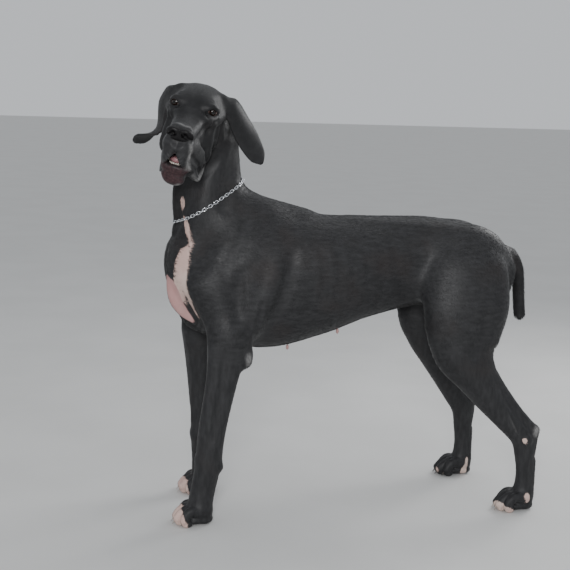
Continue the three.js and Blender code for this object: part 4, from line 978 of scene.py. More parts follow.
@dataclass
class Net:
    """A closed mesh laid over the surface of a body on a grid of cells."""

    body: Body
    low: Triple
    high: Triple
    step: float
    coarse: int = 8
    band: float = 1.1

    def spots(self, index: Array) -> Array:
        """Return the places of grid points."""
        return np.asarray(self.low) + index * self.step

    def sample(self) -> Array:
        """Return the distances on the grid, exact near the surface and only signed elsewhere."""
        n = self.coarse
        blocks = np.ceil((np.subtract(self.high, self.low) / self.step + 1) / n).astype(int)
        near = np.argwhere(np.ones(blocks, dtype=bool))
        values = self.body.distance(self.spots(near * n + 0.5 * (n - 1)))
        grid = np.repeat(np.repeat(np.repeat(values.reshape(blocks).astype(np.float32), n, 0), n, 1), n, 2)
        near = near[np.abs(values) < self.band * n * self.step] * n
        for size in (2, 1):
            corners = np.argwhere(np.ones((n // size,) * 3, dtype=bool)) * size
            index = (near[:, None, :] + corners[None]).reshape(-1, 3)
            values = self.body.distance(self.spots(index + 0.5 * (size - 1)))
            for corner in np.argwhere(np.ones((size,) * 3, dtype=bool)):
                grid[tuple((index + corner).T)] = values
            near = index[np.abs(values) < self.band * self.step * size]
            n = size
        return grid

    def refine(self, grid: Array, boxes: Sequence[tuple[Row, Row]]) -> tuple["Net", Array]:
        """Return a net of half the step, read off this one except in the boxes, which are sampled anew."""
        for axis in range(3):
            middle = 0.5 * (np.take(grid, range(1, grid.shape[axis]), axis)
                            + np.take(grid, range(grid.shape[axis] - 1), axis))
            shape = list(grid.shape)
            shape[axis] = 2 * shape[axis] - 1
            finer = np.empty(shape, dtype=np.float32)
            lanes = [slice(None)] * 3
            lanes[axis] = slice(0, None, 2)
            finer[tuple(lanes)] = grid
            lanes[axis] = slice(1, None, 2)
            finer[tuple(lanes)] = middle
            grid = finer
        net = Net(self.body, self.low, self.high, 0.5 * self.step)
        for low, high in boxes:
            first = np.floor((np.array(low) - self.low) / net.step).astype(int).clip(0)
            last = np.ceil((np.array(high) - self.low) / net.step).astype(int)
            part = Net(self.body, tuple(net.spots(first)), tuple(net.spots(last)), net.step).sample()
            room = [slice(a, min(a + n, full)) for a, n, full in zip(first, part.shape, grid.shape)]
            grid[tuple(room)] = part[tuple(slice(0, lane.stop - lane.start) for lane in room)]
        return net, grid

    def faces(self, grid: Array) -> tuple[Array, Array]:
        """Return the vertices in grid steps and the four-sided faces of the net."""
        sheets, counts = sheet_table()
        inside = grid < 0
        shape = np.array(grid.shape) - 1
        pattern = np.zeros(shape, dtype=np.uint8)
        for n, (x, y, z) in enumerate(CORNERS):
            pattern |= inside[x:x + shape[0], y:y + shape[1], z:z + shape[2]].astype(np.uint8) << n
        cells = np.argwhere((pattern > 0) & (pattern < 255))
        kind = pattern[tuple(cells.T)]
        flat = np.ravel_multi_index(cells.T, shape)
        start = np.concatenate([[0], np.cumsum(counts[kind])])
        total = np.zeros((start[-1], 3))
        share = np.zeros(start[-1])
        for e, (a, b) in enumerate(CELL_EDGES):
            rows = np.flatnonzero(sheets[kind, e] >= 0)
            first, second = cells[rows] + CORNERS[a], cells[rows] + CORNERS[b]
            va, vb = grid[tuple(first.T)], grid[tuple(second.T)]
            place = first + (second - first) * (va / (va - vb))[:, None]
            owner = start[rows] + sheets[kind[rows], e]
            for axis in range(3):
                total[:, axis] += np.bincount(owner, place[:, axis], len(share))
            share += np.bincount(owner, minlength=len(share))
        quads = []
        for axis in range(3):
            b, c = [other for other in range(3) if other != axis]
            ahead = np.take(inside, range(1, grid.shape[axis]), axis)
            behind = np.take(inside, range(grid.shape[axis] - 1), axis)
            crossed = np.argwhere(ahead != behind)
            crossed = crossed[np.all(crossed > 0, axis=1, where=np.arange(3) != axis)]
            ring = []
            for low_b, low_c in ((1, 1), (0, 1), (0, 0), (1, 0)):
                cell = crossed.copy()
                cell[:, b] -= low_b
                cell[:, c] -= low_c
                row = np.searchsorted(flat, np.ravel_multi_index(cell.T, shape))
                ring.append(start[row] + sheets[kind[row], 4 * axis + low_b + 2 * low_c])
            ring = np.stack(ring, axis=1)
            turn = behind[tuple(crossed.T)] == (axis == 1)
            ring[turn] = ring[turn][:, ::-1]
            quads.append(ring)
        return total / share[:, None], np.concatenate(quads)

    def slope(self, grid: Array, points: Array) -> Array:
        """Return the direction away from the surface at each place, read off the grid."""
        at = (points - np.asarray(self.low)) / self.step
        result = np.zeros_like(points)
        for axis in range(3):
            for way in (-1, 1):
                spot = at.copy()
                spot[:, axis] += way
                spot = np.clip(spot, 0, np.array(grid.shape) - 1.001)
                base = spot.astype(int)
                part = spot - base
                value = np.zeros(len(points))
                for corner in CORNERS:
                    weight = np.prod(np.where(corner, part, 1 - part), axis=1)
                    value += weight * grid[tuple((base + corner).T)]
                result[:, axis] += way * value
        return units(result, 1e-9)


@dataclass
class Sheet:
    """A mesh under work: its vertices in millimetres and its edges, with the body it lies on."""

    body: Body
    places: Array
    sides: Array

    @classmethod
    def from_mesh(cls, body: Body, mesh: Mesh) -> "Sheet":
        """Return the vertices and edges of a mesh."""
        return cls(body, read(mesh.vertices, "co"), read(mesh.edges, "vertices", 2, np.int32))

    def relax(self, amount: float, mask: Array | None = None) -> None:
        """Move every vertex towards the middle of its neighbours."""
        a, b = self.sides.T
        count = len(self.places)
        near = np.bincount(a, minlength=count) + np.bincount(b, minlength=count)
        total = np.stack([
            np.bincount(a, self.places[b, axis], count) + np.bincount(b, self.places[a, axis], count)
            for axis in range(3)], axis=1)
        move = total / np.maximum(near, 1)[:, None] - self.places
        self.places += amount * move * (1 if mask is None else mask[:, None])

    def settle(self, net: Net, grid: Array, most: float = 2.5) -> None:
        """Move every vertex onto the surface of the body, at most so far."""
        value = np.clip(self.body.distance(self.places), -most, most)
        self.places -= net.slope(grid, self.places) * value[:, None]
        self.places[:, 2] = np.maximum(self.places[:, 2], 0)


def frame_shift() -> Array:
    """Return what takes a place in the stance frame, in millimetres, to the frame of the model."""
    moves = []
    for name, eye in zip(("eye_left", "eye_right"), EYES):
        low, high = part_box(name)
        moves.append(0.5 * (np.array(low) + np.array(high)) / MM - from_head(*eye.centre()))
    shift = np.mean(moves, axis=0)
    shift[2] = 0
    return shift


@dataclass
class Studio:
    """Where finished meshes go: the shift into the model's frame and the body they ride on."""

    shift: Array
    body: str = "root"

    def place(self, spots: Array) -> Array:
        """Return stance millimetres as metres in the model's frame."""
        return (np.asarray(spots, dtype=float) + self.shift) * MM

    def mesh(self, name: str, spots: Array, faces: Sequence[Sequence[int]]) -> Mesh:
        """Return a smooth mesh from stance places and faces."""
        mesh = bpy.data.meshes.new(name)
        mesh.from_pydata(self.place(spots).tolist(), [], [list(map(int, face)) for face in faces])
        mesh.update()
        mesh.shade_smooth()
        return mesh

    def add(self, name: str, mesh: Mesh, material: Material, slot: str,
            nodes: Sequence[str] = ()) -> Piece:
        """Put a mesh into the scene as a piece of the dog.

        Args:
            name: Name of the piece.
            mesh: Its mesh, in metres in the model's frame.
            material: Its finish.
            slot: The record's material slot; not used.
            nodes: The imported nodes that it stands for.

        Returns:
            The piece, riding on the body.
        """
        piece = put(name, mesh)
        mesh.materials.clear()
        mesh.materials.append(material)
        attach(piece, self.body)
        if nodes:
            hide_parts(*nodes)
        LOG.info("%s: %d faces", name, len(mesh.polygons))
        return piece


FLESH_NODES = ("torso", "neck", "head", "lower_jaw", "ear_left", "ear_right", "tail", "foreleg_left",
               "forepaw_left", "hindleg_left", "hindpaw_left", "foreleg_right", "forepaw_right",
               "hindleg_right", "hindpaw_right")


@dataclass
class Skin:
    """The dog's one skin, closed from nose to tail."""

    step: float = 5.0
    keep: float = 0.24
    near_eye: float = 27
    near_nipple: float = 14
    lids: float = 25
    low: Triple = (-250, -340, -7)
    high: Triple = (900, 230, 1065)
    fine: tuple[tuple[Row, Row], ...] = (
        ((-250, -340, 800), (200, 70, 1062)),
        ((-80, -150, -7), (70, 150, 66)),
        ((680, -180, -7), (880, 180, 66)),
        ((205, -50, 395), (365, 50, 470)),
        ((570, -50, 495), (600, 50, 530)),
    )

    def body(self) -> Body:
        """Return every form of the dog's flesh."""
        groups = [Trunk().flesh(), Neck().flesh(), Tail().flesh()]
        for side in Side:
            groups += [ForeLeg(side).flesh(), HindLeg(side).flesh()]
        groups += Head().flesh() + [ear.flesh() for ear in EARS]
        return Body(groups)

    def weight(self, places: Array) -> Array:
        """Return how freely each place may be thinned: not at all on the face and ears."""
        on_head = to_head(places)
        far = np.linalg.norm((on_head - (10, 10, -60)) / (150, 130, 130), axis=1)
        return np.minimum(np.clip((far - 0.9) / 0.3, 0, 1), np.clip((places[:, 2] - 40) / 30, 0.15, 1))

    def thin(self, mesh: Mesh, places: Array) -> Mesh:
        """Return the mesh with fewer faces on the body."""
        piece = put("skin_work", mesh)
        group = piece.vertex_groups.new(name="thin")
        weights = np.round(self.weight(places), 1)
        for level in np.unique(weights):
            group.add(np.flatnonzero(weights == level).tolist(), float(level), "REPLACE")
        modifier = piece.modifiers.new("thin", "DECIMATE")
        modifier.ratio = self.keep
        modifier.vertex_group = "thin"
        modifier.vertex_group_factor = 1.0
        return plain_mesh(piece)

    def sharpen(self, mesh: Mesh) -> None:
        """Split the faces round the eyes, nose, lips and nipples once more."""
        places = read(mesh.vertices, "co")
        chosen = np.zeros(len(places), dtype=bool)
        on_head = to_head(places)
        for eye in EYES:
            chosen |= np.linalg.norm(on_head - eye.centre(), axis=1) < self.near_eye
        chosen |= np.linalg.norm((on_head - (112, 0, -60)) / (36, 40, 52), axis=1) < 1
        for side in Side:
            for spot in mirror(STANCE.nipples, side):
                chosen |= np.linalg.norm(places - spot, axis=1) < self.near_nipple
        work = bmesh.new()
        work.from_mesh(mesh)
        work.verts.ensure_lookup_table()
        edges = [edge for edge in work.edges if all(chosen[v.index] for v in edge.verts)]
        bmesh.ops.subdivide_edges(work, edges=edges, cuts=1)
        bmesh.ops.triangulate(work, faces=[face for face in work.faces if len(face.verts) > 3])
        work.to_mesh(mesh)
        work.free()

    def calm(self, sheet: Sheet) -> None:
        """Smooth the bony top of the head away from the lids."""
        on_head = to_head(sheet.places)
        smooth = (on_head[:, 2] > 4) & (on_head[:, 0] < 70)
        for eye in EYES:
            smooth &= np.linalg.norm(on_head - eye.centre(), axis=1) > self.lids
        for _ in range(6):
            sheet.relax(0.5, smooth)

    def build(self, studio: Studio, material: Material) -> tuple[Piece, Body]:
        """Build the skin.

        Args:
            studio: Takes the finished mesh.
            material: The coat's finish.

        Returns:
            The skin and the body under it.
        """
        body = self.body()
        rough = Net(body, self.low, self.high, self.step)
        net, grid = rough.refine(rough.sample(), self.fine)
        LOG.info("sampled")
        spots, quads = net.faces(grid)
        LOG.info("net of %d faces", len(quads))
        mesh = bpy.data.meshes.new("skin")
        mesh.vertices.add(len(spots))
        mesh.vertices.foreach_set("co", net.spots(spots).ravel())
        mesh.loops.add(4 * len(quads))
        mesh.loops.foreach_set("vertex_index", quads.ravel().astype(np.int32))
        mesh.polygons.add(len(quads))
        mesh.polygons.foreach_set("loop_start", 4 * np.arange(len(quads), dtype=np.int32))
        mesh.update(calc_edges=True)
        sheet = Sheet.from_mesh(body, mesh)
        sheet.relax(0.6)
        mesh.vertices.foreach_set("co", sheet.places.ravel())
        mesh = self.thin(mesh, sheet.places)
        LOG.info("thinned to %d faces", len(mesh.polygons))
        self.sharpen(mesh)
        sheet = Sheet.from_mesh(body, mesh)
        for _ in range(2):
            sheet.relax(0.4)
            sheet.settle(net, grid)
        sheet.settle(net, grid)
        self.calm(sheet)
        mesh.vertices.foreach_set("co", studio.place(sheet.places).ravel())
        mesh.update()
        mesh.shade_smooth()
        mark_mesh(mesh, sheet.places)
        LOG.info("settled")
        return studio.add("skin", mesh, material, "coat", FLESH_NODES), body


def head_mesh(studio: Studio, name: str, forms: list[Form], low: Row, high: Row, step: float) -> Mesh:
    """Return a smooth closed mesh over forms of the head's frame.

    Args:
        studio: Makes the mesh.
        name: Name of the mesh.
        forms: What it lies over.
        low: Least corner of the forms' box.
        high: Greatest corner.
        step: Size of the net's cells.
    """
    body = Body([Flesh(forms, HEAD_PLACE)], coat=0)
    corners = np.array([from_head(*corner) for corner in itertools.product(*zip(low, high))])
    net = Net(body, tuple(corners.min(axis=0)), tuple(corners.max(axis=0)), step)
    spots, quads = net.faces(net.sample())
    return studio.mesh(name, net.spots(spots), quads)


@dataclass
class NosePad:
    """The bare pad at the tip of the muzzle with its two nostrils."""

    step: float = 1.3

    def side_forms(self, side: int) -> list[Form]:
        """Return the nostril of one side, its slit and the wing over it."""
        wing = [(131, 6, -21, 4, 5), (131, 16, -20, 5, 6), (124, 24, -26, 5, 6), (117, 26, -36, 4, 5)]
        slit = [(137, 13, -31, 6), (129, 19, -35, 4, 5), (120, 27, -41, 2.6, 4)]
        return [
            Limb(6, mirror(wing, side)),
            Swelling(3, (134, 12 * side, -29), (12, 6, 5.4), turn=(20 * side, 0, 30 * side), hollow=True),
            Limb(3, mirror(slit, side), hollow=True),
        ]

    def build(self, studio: Studio, material: Material) -> Piece:
        """Build the pad."""
        pad = [(108, 0, -29, 14, 16, 20), (120, 0, -29, 15.5, 17, 26), (128, 0, -31, 13, 15, 23)]
        groove = [(136, 0, -24, 2, 1.6), (135, 0, -36, 2, 1.8), (128, 0, -48, 2.4, 2)]
        forms = [Limb(4, pad, square=2.5, caps=(0.3, 0.5)), *both(self.side_forms),
                 Limb(3, groove, up=BACK_UP, hollow=True)]
        mesh = head_mesh(studio, "nose_pad", forms, (96, -34, -54), (146, 34, -6), self.step)
        return studio.add("nose_pad", mesh, material, "nose", ["nose"])


@dataclass
class Eyeball:
    """An eyeball with a raised clear front, and a map round its line of sight."""

    rings: int = 40
    parts: int = 48
    bulge: float = 0.9
    front: float = 36

    def build(self, studio: Studio, eye: Eye, name: str, material: Material, node: str) -> Piece:
        """Build one eyeball.

        Args:
            studio: Takes the finished mesh.
            eye: The eye in the head.
            name: Name of the piece.
            material: Its finish, which reads the map named Gaze.
            node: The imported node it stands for.
        """
        middle = from_head(*eye.centre())
        ahead = unit(from_head(*eye.spot(1, 0, 0)) - middle)
        over = unit(np.cross(np.cross(ahead, (0, 0, 1)), ahead))
        side = np.cross(ahead, over)
        spots, gaze = [middle + ahead * (eye.radius + self.bulge)], [(0.5, 0.5)]
        for ring in range(1, self.rings):
            angle = math.pi * ring / self.rings
            raised = self.bulge * max(math.cos(min(math.degrees(angle) / self.front, 1) * math.pi / 2), 0)
            for part in range(self.parts):
                turn = 2 * math.pi * part / self.parts
                out = over * math.cos(turn) + side * math.sin(turn)
                way = ahead * math.cos(angle) + out * math.sin(angle)
                spots.append(middle + way * (eye.radius + raised))
                far = 0.5 * angle / math.pi
                gaze.append((0.5 + far * math.sin(turn), 0.5 + far * math.cos(turn)))
        spots.append(middle - ahead * eye.radius)
        gaze.append((1.0, 0.5))
        last = len(spots) - 1
        faces = []
        for part in range(self.parts):
            after = (part + 1) % self.parts
            faces.append((0, 1 + after, 1 + part))
            for ring in range(self.rings - 2):
                a, b = 1 + ring * self.parts, 1 + (ring + 1) * self.parts
                faces.append((a + part, a + after, b + after, b + part))
            tail = 1 + (self.rings - 2) * self.parts
            faces.append((tail + part, tail + after, last))
        mesh = studio.mesh(name, np.array(spots), faces)
        layer = mesh.uv_layers.new(name="Gaze")
        for loop in mesh.loops:
            layer.data[loop.index].uv = gaze[loop.vertex_index]
        return studio.add(name, mesh, material, "eye", [node])


def loft(rings: Sequence[Sequence[Row]], start: int, inward: bool) -> list[list[int]]:
    """Return the faces of a closed tube over rings of vertices.

    Args:
        rings: The vertices of each ring, in order.
        start: Index of the first vertex.
        inward: True where the rings run the other way round.
    """
    around, faces = len(rings[0]), []
    for level in range(1, len(rings)):
        for part in range(around):
            low, high = start + (level - 1) * around, start + level * around
            after = (part + 1) % around
            quad = [low + part, low + after, high + after, high + part]
            faces.append([quad[0], *quad[:0:-1]] if inward else quad)
    foot, top = list(range(start, start + around)), list(range(high, high + around))
    return faces + ([foot, top[::-1]] if inward else [foot[::-1], top])


@dataclass
class Mouth:
    """The tongue and gum in the lower jaw, and the teeth that show, each by a rise and a width per ring."""

    tooth: tuple[tuple[float, float], ...] = ((0, 1), (0.35, 1.05), (0.7, 0.8), (0.92, 0.5), (1, 0.15))
    sides: int = 10

    def tongue(self, studio: Studio, material: Material) -> Piece:
        """Build the tongue and the gum round it."""
        tongue = [(88, 0, -99, 8, 15), (60, 0, -93, 9, 10, 17), (14, 0, -82, 9, 10, 15)]
        gum = [(84, -20, -115, 7, 8, 5), (92, -9, -115, 7, 8, 5), (93, 4, -115, 7, 8, 5),
               (86, 18, -115, 7, 8, 5), (66, 22, -112, 7, 8, 5)]
        groove = [(94, 0, -90, 1.6, 2), (60, 0, -83, 2), (14, 0, -71, 2)]
        forms = [Limb(4, tongue, caps=(0.9, 0.6)), Limb(4, groove, hollow=True), Limb(4, gum, up=(0, 0, 1))]
        mesh = head_mesh(studio, "tongue_and_gum", forms, (0, -32, -120), (112, 32, -66), 1.8)
        return studio.add("tongue_and_gum", mesh, material, "mouth", ["tongue"])

    def teeth(self, studio: Studio, material: Material) -> Piece:
        """Build the six lower front teeth and the eye teeth beside them."""
        spots, faces = [], []
        rows = [(96 - 0.9 * p * p, 4.7 * p, -112, 2.9, 8.5) for p in (-2.5, -1.5, -0.5, 0.5, 1.5, 2.5)]
        rows += [(84, side * 17, -113, 3.6, 13) for side in Side]
        turns = [2 * math.pi * part / self.sides for part in range(self.sides)]
        for x, y, z, radius, tall in rows:
            rings = [[from_head(x + rise * 1.4 + 0.8 * radius * share * math.cos(turn),
                                y + radius * share * math.sin(turn), z + rise * tall) for turn in turns]
                     for rise, share in self.tooth]
            faces += loft(rings, len(spots), inward=False)
            spots += itertools.chain(*rings)
        return studio.add("teeth", studio.mesh("teeth", np.array(spots), faces), material, "teeth")


@dataclass
class Claws:
    """The claws of one paw."""

    length: float = 13
    half: float = 4.7
    sides: int = 12
    levels: int = 7

    def ring(self, root: Array, t: float) -> list[Array]:
        """Return the places round a claw at a share of the way to its tip."""
        centre = root + (-(self.length + 2) * t, 0, -1.5 * t - 11.5 * t * t)
        size = self.half * (1 - 0.58 * t ** 2.2)
        places = []
        for part in range(self.sides):
            turn = 2 * math.pi * part / self.sides
            low = 0.8 if math.sin(turn) < 0 else 1.1
            places.append(centre + (0.35 * size * math.sin(turn), 0.78 * size * math.cos(turn),
                                    low * size * math.sin(turn)))
        return places

    def build(self, studio: Studio, paw: Paw, name: str, material: Material) -> Piece:
        """Build the four claws of one paw as curved, pointed cones sunk into the toes."""
        spots, faces = [], []
        for spread, tip, _ in paw.toes():
            root = np.array((paw.foot - tip + 13, paw.y + spread, 17.5))
            rings = [self.ring(root, level / self.levels) for level in range(self.levels + 1)]
            faces += loft(rings, len(spots), inward=True)
            spots += itertools.chain(*rings)
        spots = np.array(spots)
        spots[:, 2] = np.maximum(spots[:, 2], 0.3)
        return studio.add(name, studio.mesh(name, spots, faces), material, "horn")


class Tree:
    """A node tree under work, with short ways to add its nodes."""

    def __init__(self, tree: bpy.types.NodeTree) -> None:
        """Keep the tree."""
        self.tree = tree

    def feed(self, node: bpy.types.Node, socket: int | str, value: object) -> None:
        """Set a socket, or join an output to it."""
        if isinstance(value, Socket):
            self.tree.links.new(value, node.inputs[socket])
        elif isinstance(value, tuple) and len(value) == 3 and node.inputs[socket].type == "RGBA":
            node.inputs[socket].default_value = (*value, 1)
        else:
            node.inputs[socket].default_value = value

    def add(self, kind: str, out: int | str, sockets: dict[int | str, object] | None = None,
            **settings: object) -> Socket:
        """Add a node.

        Args:
            kind: Its kind.
            out: The output that is wanted.
            sockets: A value or another node's output for each input that is set.
            settings: Its other settings.

        Returns:
            The output.
        """
        node = self.tree.nodes.new(kind)
        for key, value in settings.items():
            setattr(node, key, value)
        for key, value in (sockets or {}).items():
            self.feed(node, key, value)
        return node.outputs[out]


class Growth(Tree):
    """A tree of Geometry Nodes under work, with named inputs."""

    def __init__(self, name: str, sockets: dict[str, str]) -> None:
        """Start the tree.

        Args:
            name: Its name.
            sockets: The kind of each input besides the geometry.
        """
        super().__init__(bpy.data.node_groups.new(name, "GeometryNodeTree"))
        face = self.tree.interface
        for key, kind in {"Geometry": "Geometry", **sockets}.items():
            face.new_socket(key, in_out="INPUT", socket_type=f"NodeSocket{kind}")
        face.new_socket("Geometry", in_out="OUTPUT", socket_type="NodeSocketGeometry")
        self.given = self.tree.nodes.new("NodeGroupInput").outputs

    def held(self, name: str) -> Socket:
        """Return a vector that the points hold."""
        return self.add("GeometryNodeInputNamedAttribute", "Attribute", {"Name": name},
                        data_type="FLOAT_VECTOR")

    def place(self, points: Socket, piece: Socket, turn: Socket, size: object = (1, 1, 1)) -> Socket:
        """Return a piece set on every point."""
        return self.add("GeometryNodeInstanceOnPoints", "Instances", {
            "Points": points, "Instance": piece, "Rotation": turn, "Scale": size})

    def real(self, shape: Socket) -> Socket:
        """Return the instances as a mesh."""
        return self.add("GeometryNodeRealizeInstances", "Geometry", {"Geometry": shape})

    def run(self, piece: Piece, shape: Socket, material: Material, values: dict[str, object]) -> Mesh:
        """End the tree with the finish and run it on an object, which is taken away.

        Args:
            piece: The curve or mesh that the tree works on.
            shape: What the tree has made.
            material: Its finish.
            values: A value for each named input.

        Returns:
            The mesh that it makes.
        """
        dressed = self.add("GeometryNodeSetMaterial", "Geometry", {"Geometry": shape, "Material": material})
        self.feed(self.tree.nodes.new("NodeGroupOutput"), "Geometry", dressed)
        modifier = piece.modifiers.new(self.tree.name, "NODES")
        modifier.node_group = self.tree
        inputs = {item.name: item.identifier for item in self.tree.interface.items_tree
                  if item.item_type == "SOCKET" and item.in_out == "INPUT"}
        for key, value in values.items():
            modifier[inputs[key]] = value
        return plain_mesh(piece)


@dataclass
class Collar:
    """A chain collar: round wire links, each turned a quarter against the last, lying on the neck."""

    back: Triple = (104, 0, 818)
    front: Triple = (-58, 0, 716)
    half: float = 3.5
    wire: float = 1.15
    links: int = 68

    def path(self, body: Body, count: int = 72) -> Array:
        """Return the loop's places round the neck, found from its axis outwards."""
        back, front = np.array(self.back, float), np.array(self.front, float)
        middle, along = 0.5 * (back + front), unit(front - back)
        sides = np.array((0, 1, 0))
        places = []
        for n in range(count):
            turn = 2 * math.pi * n / count
            out = along * math.cos(turn) + sides * math.sin(turn)
            reach = np.arange(20, 200, 0.5)
            value = body.distance(middle + reach[:, None] * out)
            clear = np.flatnonzero(value < self.half * 0.75)
            places.append(middle + out * reach[clear[-1] if len(clear) else 0])
        places = np.array(places)
        for _ in range(3):
            places = 0.5 * places + 0.25 * (np.roll(places, 1, axis=0) + np.roll(places, -1, axis=0))
        return places

    def build(self, studio: Studio, body: Body, material: Material) -> Piece:
        """Build the chain with Geometry Nodes along the loop."""
        places = studio.place(self.path(body))
        curve = bpy.data.curves.new("collar_line", "CURVE")
        curve.dimensions = "3D"
        spline = curve.splines.new("POLY")
        spline.points.add(len(places) - 1)
        spline.points.foreach_set("co", np.hstack([places, np.ones((len(places), 1))]).ravel())
        spline.use_cyclic_u = True
        ring = np.linalg.norm(np.diff(np.vstack([places, places[:1]]), axis=0), axis=1).sum()
        tree = Growth("chain_links", {"Links": "Int", "Long": "Float", "Wide": "Float", "Wire": "Float"})
        mesh = tree.run(put("collar_line", curve), self.link_row(tree), material, {
            "Links": self.links, "Long": 0.5 * ring / self.links + 1.5 * self.wire * MM,
            "Wide": self.half * MM, "Wire": self.wire * MM})
        mesh.shade_smooth()
        return studio.add("collar_chain", mesh, material, "chain", ["collar"])

    def link_row(self, tree: Growth) -> Socket:
        """Return one link on each point of the line, each turned a quarter against the last."""
        add, given = tree.add, tree.given
        points = add("GeometryNodeCurveToPoints", "Points", {
            "Curve": given["Geometry"], "Count": given["Links"]}, mode="COUNT")
        ring = add("GeometryNodeCurvePrimitiveCircle", "Curve", {"Resolution": 20, "Radius": 1.0})
        size = add("ShaderNodeCombineXYZ", "Vector", {"X": given["Wide"], "Y": given["Long"], "Z": 1.0})
        oval = add("GeometryNodeTransform", "Geometry", {"Geometry": ring, "Scale": size})
        wire = add("GeometryNodeCurvePrimitiveCircle", "Curve", {"Resolution": 8, "Radius": given["Wire"]})
        tube = add("GeometryNodeCurveToMesh", "Mesh", {"Curve": oval, "Profile Curve": wire})
        stand = add("GeometryNodeTransform", "Geometry", {"Geometry": tube, "Rotation": (math.pi / 2, 0, 0)})
        place = tree.place(points, stand, points.node.outputs["Rotation"])
        index = add("GeometryNodeInputIndex", "Index")
        turn = add("ShaderNodeMath", "Value", {0: index, 1: math.pi / 2, 2: math.pi / 4},
                   operation="MULTIPLY_ADD")
        twist = add("ShaderNodeCombineXYZ", "Vector", {"Z": turn})
        return tree.real(add("GeometryNodeRotateInstances", "Instances",
                             {"Instances": place, "Rotation": twist}))


class Shader(Tree):
    """A material under work, with short ways to add its nodes."""

    def __init__(self, name: str) -> None:
        """Start a material with one principled shader."""
        self.material = bpy.data.materials.new(name)
        self.material.use_nodes = True
        super().__init__(self.material.node_tree)
        self.main = self.tree.nodes["Principled BSDF"]

    def set(self, **values: float | tuple) -> None:
        """Set sockets of the main shader, written with _ for a space."""
        for name, value in values.items():
            self.main.inputs[name.replace("_", " ")].default_value = value

    def link(self, source: Socket, name: str) -> None:
        """Join an output to a socket of the main shader."""
        self.tree.links.new(source, self.main.inputs[name])

    def spot(self, scale: Triple = (1, 1, 1), turn: Triple = (0, 0, 0)) -> Socket:
        """Return places on the piece, turned back from a frame and stretched."""
        return self.add("ShaderNodeMapping", "Vector", {
            "Vector": self.add("ShaderNodeTexCoord", "Object"), "Rotation": turn,
            "Scale": tuple(1 / number for number in scale)}, vector_type="TEXTURE")

    def noise(self, where: Socket, scale: float, detail: float = 3.0) -> Socket:
        """Return a soft noise from 0 to 1."""
        return self.add("ShaderNodeTexNoise", "Fac", {"Vector": where, "Scale": scale, "Detail": detail})

    def cells(self, where: Socket, scale: float) -> Socket:
        """Return the distance from the middle of pebble-like cells."""
        return self.add("ShaderNodeTexVoronoi", "Distance", {"Vector": where, "Scale": scale})

    def math(self, kind: str, a: object, b: object = 0.0, c: object = 0.0) -> Socket:
        """Return a sum, product or other function of numbers."""
        return self.add("ShaderNodeMath", "Value", {0: a, 1: b, 2: c}, operation=kind)

    def sway(self, value: Socket, share: Socket, reach: float) -> Socket:
        """Return a number moved up and down by a noise."""
        return self.math("MULTIPLY_ADD", self.math("SUBTRACT", share, 0.5), reach, value)

    def span(self, value: Socket, low: float, high: float, start: float = 0.0, end: float = 1.0) -> Socket:
        """Return a number led smoothly from one range to another."""
        return self.add("ShaderNodeMapRange", "Result", {
            "Value": value, "From Min": low, "From Max": high, "To Min": start, "To Max": end},
            interpolation_type="SMOOTHSTEP")

    def mix(self, share: object, a: object, b: object) -> Socket:
        """Return a mix of two colours."""
        return self.add("ShaderNodeMix", 2, {0: share, 6: a, 7: b}, data_type="RGBA")

    def blend(self, share: object, a: object, b: object) -> Socket:
        """Return a mix of two numbers."""
        return self.add("ShaderNodeMix", 0, {0: share, 2: a, 3: b})

    def held(self, name: str) -> Socket:
        """Return a number that the mesh holds under a name."""
        return self.add("ShaderNodeAttribute", "Fac", attribute_name=name)

    def bump(self, height: Socket, strength: float, far: float, under: Socket | None = None) -> Socket:
        """Return a normal raised by a height."""
        sockets = {"Strength": strength, "Distance": far, "Height": height}
        if under is not None:
            sockets["Normal"] = under
        return self.add("ShaderNodeBump", "Normal", sockets)


